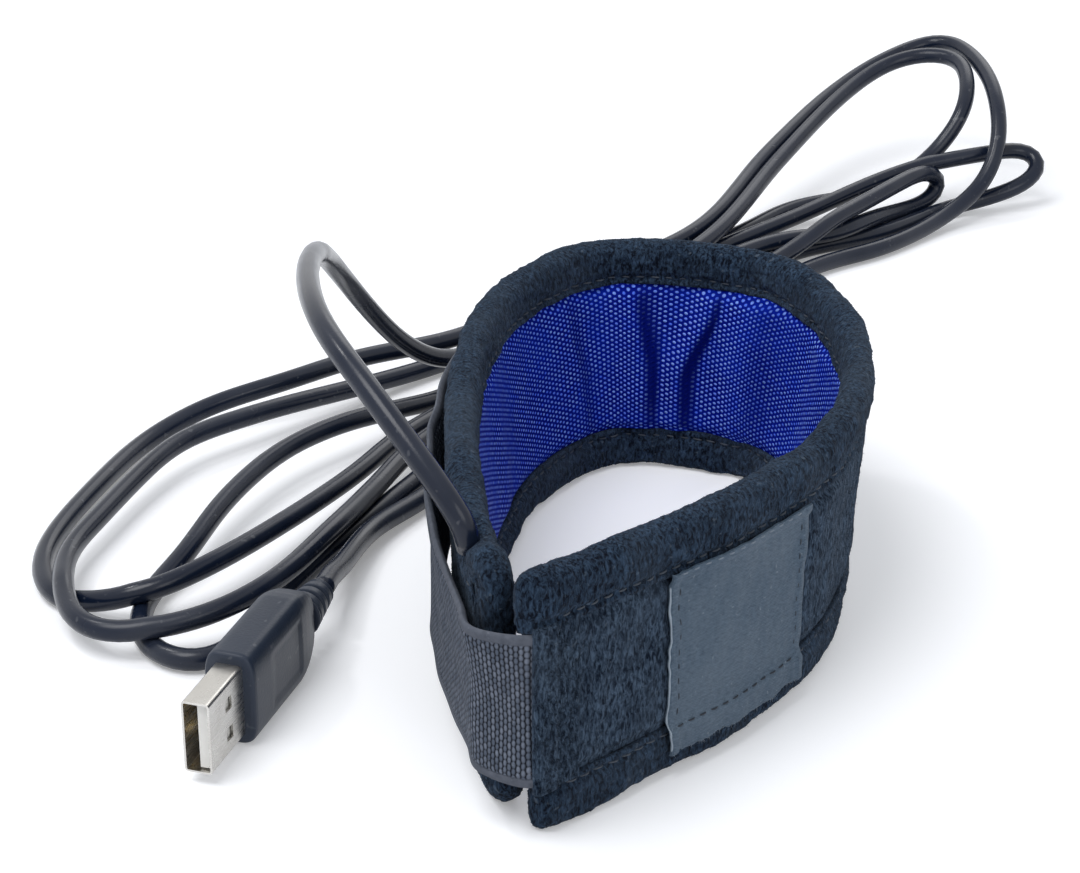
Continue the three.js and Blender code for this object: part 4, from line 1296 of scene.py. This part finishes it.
def growHairs(name, root, way, long, wide, material, seed):
    # three-sided spikes from their roots along their ways
    draw = np.random.default_rng(seed)
    count = len(root)
    side = np.cross(way, draw.normal(0, 1, (count, 3)))
    side /= np.linalg.norm(side, axis=1)[:, None]
    other = np.cross(way, side)
    base = root - way * 0.12
    corners = [base + wide * (math.cos(t) * side + math.sin(t) * other) for t in (0, 2.094, 4.189)]
    points = np.stack([*corners, root + way * long], 1).reshape(-1, 3)
    points[:, 2] = np.maximum(points[:, 2], 0.02)
    first = np.arange(count) * 4
    faces = np.concatenate([np.stack([first + p, first + q, first + t], 1)
                            for p, q, t in ((0, 1, 3), (1, 2, 3), (2, 0, 3), (0, 2, 1))])
    meshPiece(name, points, faces.tolist(), material)


def growPile(name, grid, count, seed, skip=None):
    # spikes at random places of a grid of points, leaning at random from its outward normal
    draw = np.random.default_rng(seed)
    rows, columns = grid.shape[:2]
    r = draw.uniform(0, rows - 1.001, count)
    c = draw.uniform(0, columns - 1.001, count)
    if skip is not None:
        keep = ~skip[r.astype(int), c.astype(int)]
        r, c = r[keep], c[keep]
        count = len(r)
    i, j = r.astype(int), c.astype(int)
    fr, fc = (r - i)[:, None], (c - j)[:, None]
    a, b, d, e = grid[i, j], grid[i + 1, j], grid[i, j + 1], grid[i + 1, j + 1]
    root = (a * (1 - fr) + b * fr) * (1 - fc) + (d * (1 - fr) + e * fr) * fc
    normal = np.cross(d - a, b - a)
    normal /= np.linalg.norm(normal, axis=1)[:, None] + 1e-9
    way = normal + draw.normal(0, 0.6, (count, 3)) + [0, 0, -0.3]
    way /= np.linalg.norm(way, axis=1)[:, None]
    long = draw.uniform(*pile["length"], count)[:, None]
    wide = pile["width"] * draw.uniform(0.6, 1.4, count)[:, None]
    growHairs(name, root, way, long, wide, pileTips, seed + 100)


fabricSkip = (underLabel(fabricAlong, 0.5) > 0.05) | (fabricUp < 8.4) | (fabricUp > bandHeight - 8.4)
growPile("fabricPile", fabricFace, pile["fabric"], 61, fabricSkip)
alongTape = np.broadcast_to(bindingPath[:, 0:1], bindingFace.shape[:2])
tapeSkip = ((underLabel(alongTape, 0.5) > 0.05) & (bindingPath[:, 3:4] > 0.5)
            & (np.arange(bindingFace.shape[1])[None, :] < 15))
growPile("bindingPile", bindingFace, pile["binding"], 62, tapeSkip)
growPile("hemPile", hemFace[:, ::-1], pile["hem"], 63)


def makeFray():
    # cut threads along the label's foot
    draw = np.random.default_rng(81)
    count = 70
    s = draw.uniform(label["start"], label["start"] + label["width"], count)
    z = labelFoot(s - label["start"]) + 0.25
    root = onBand(s, labelPlace(s, z) - 0.2, z)
    way = draw.normal(0, 0.35, (count, 3)) + [0, 0, -1.0] + outFrom(s, z) * 0.25
    way /= np.linalg.norm(way, axis=1)[:, None]
    long = draw.uniform(0.3, 1.0, count)[:, None]
    growHairs("labelFray", root, way, long, pile["width"], foldHighlightAndFrayThread, 82)


makeFray()
print("pile made")
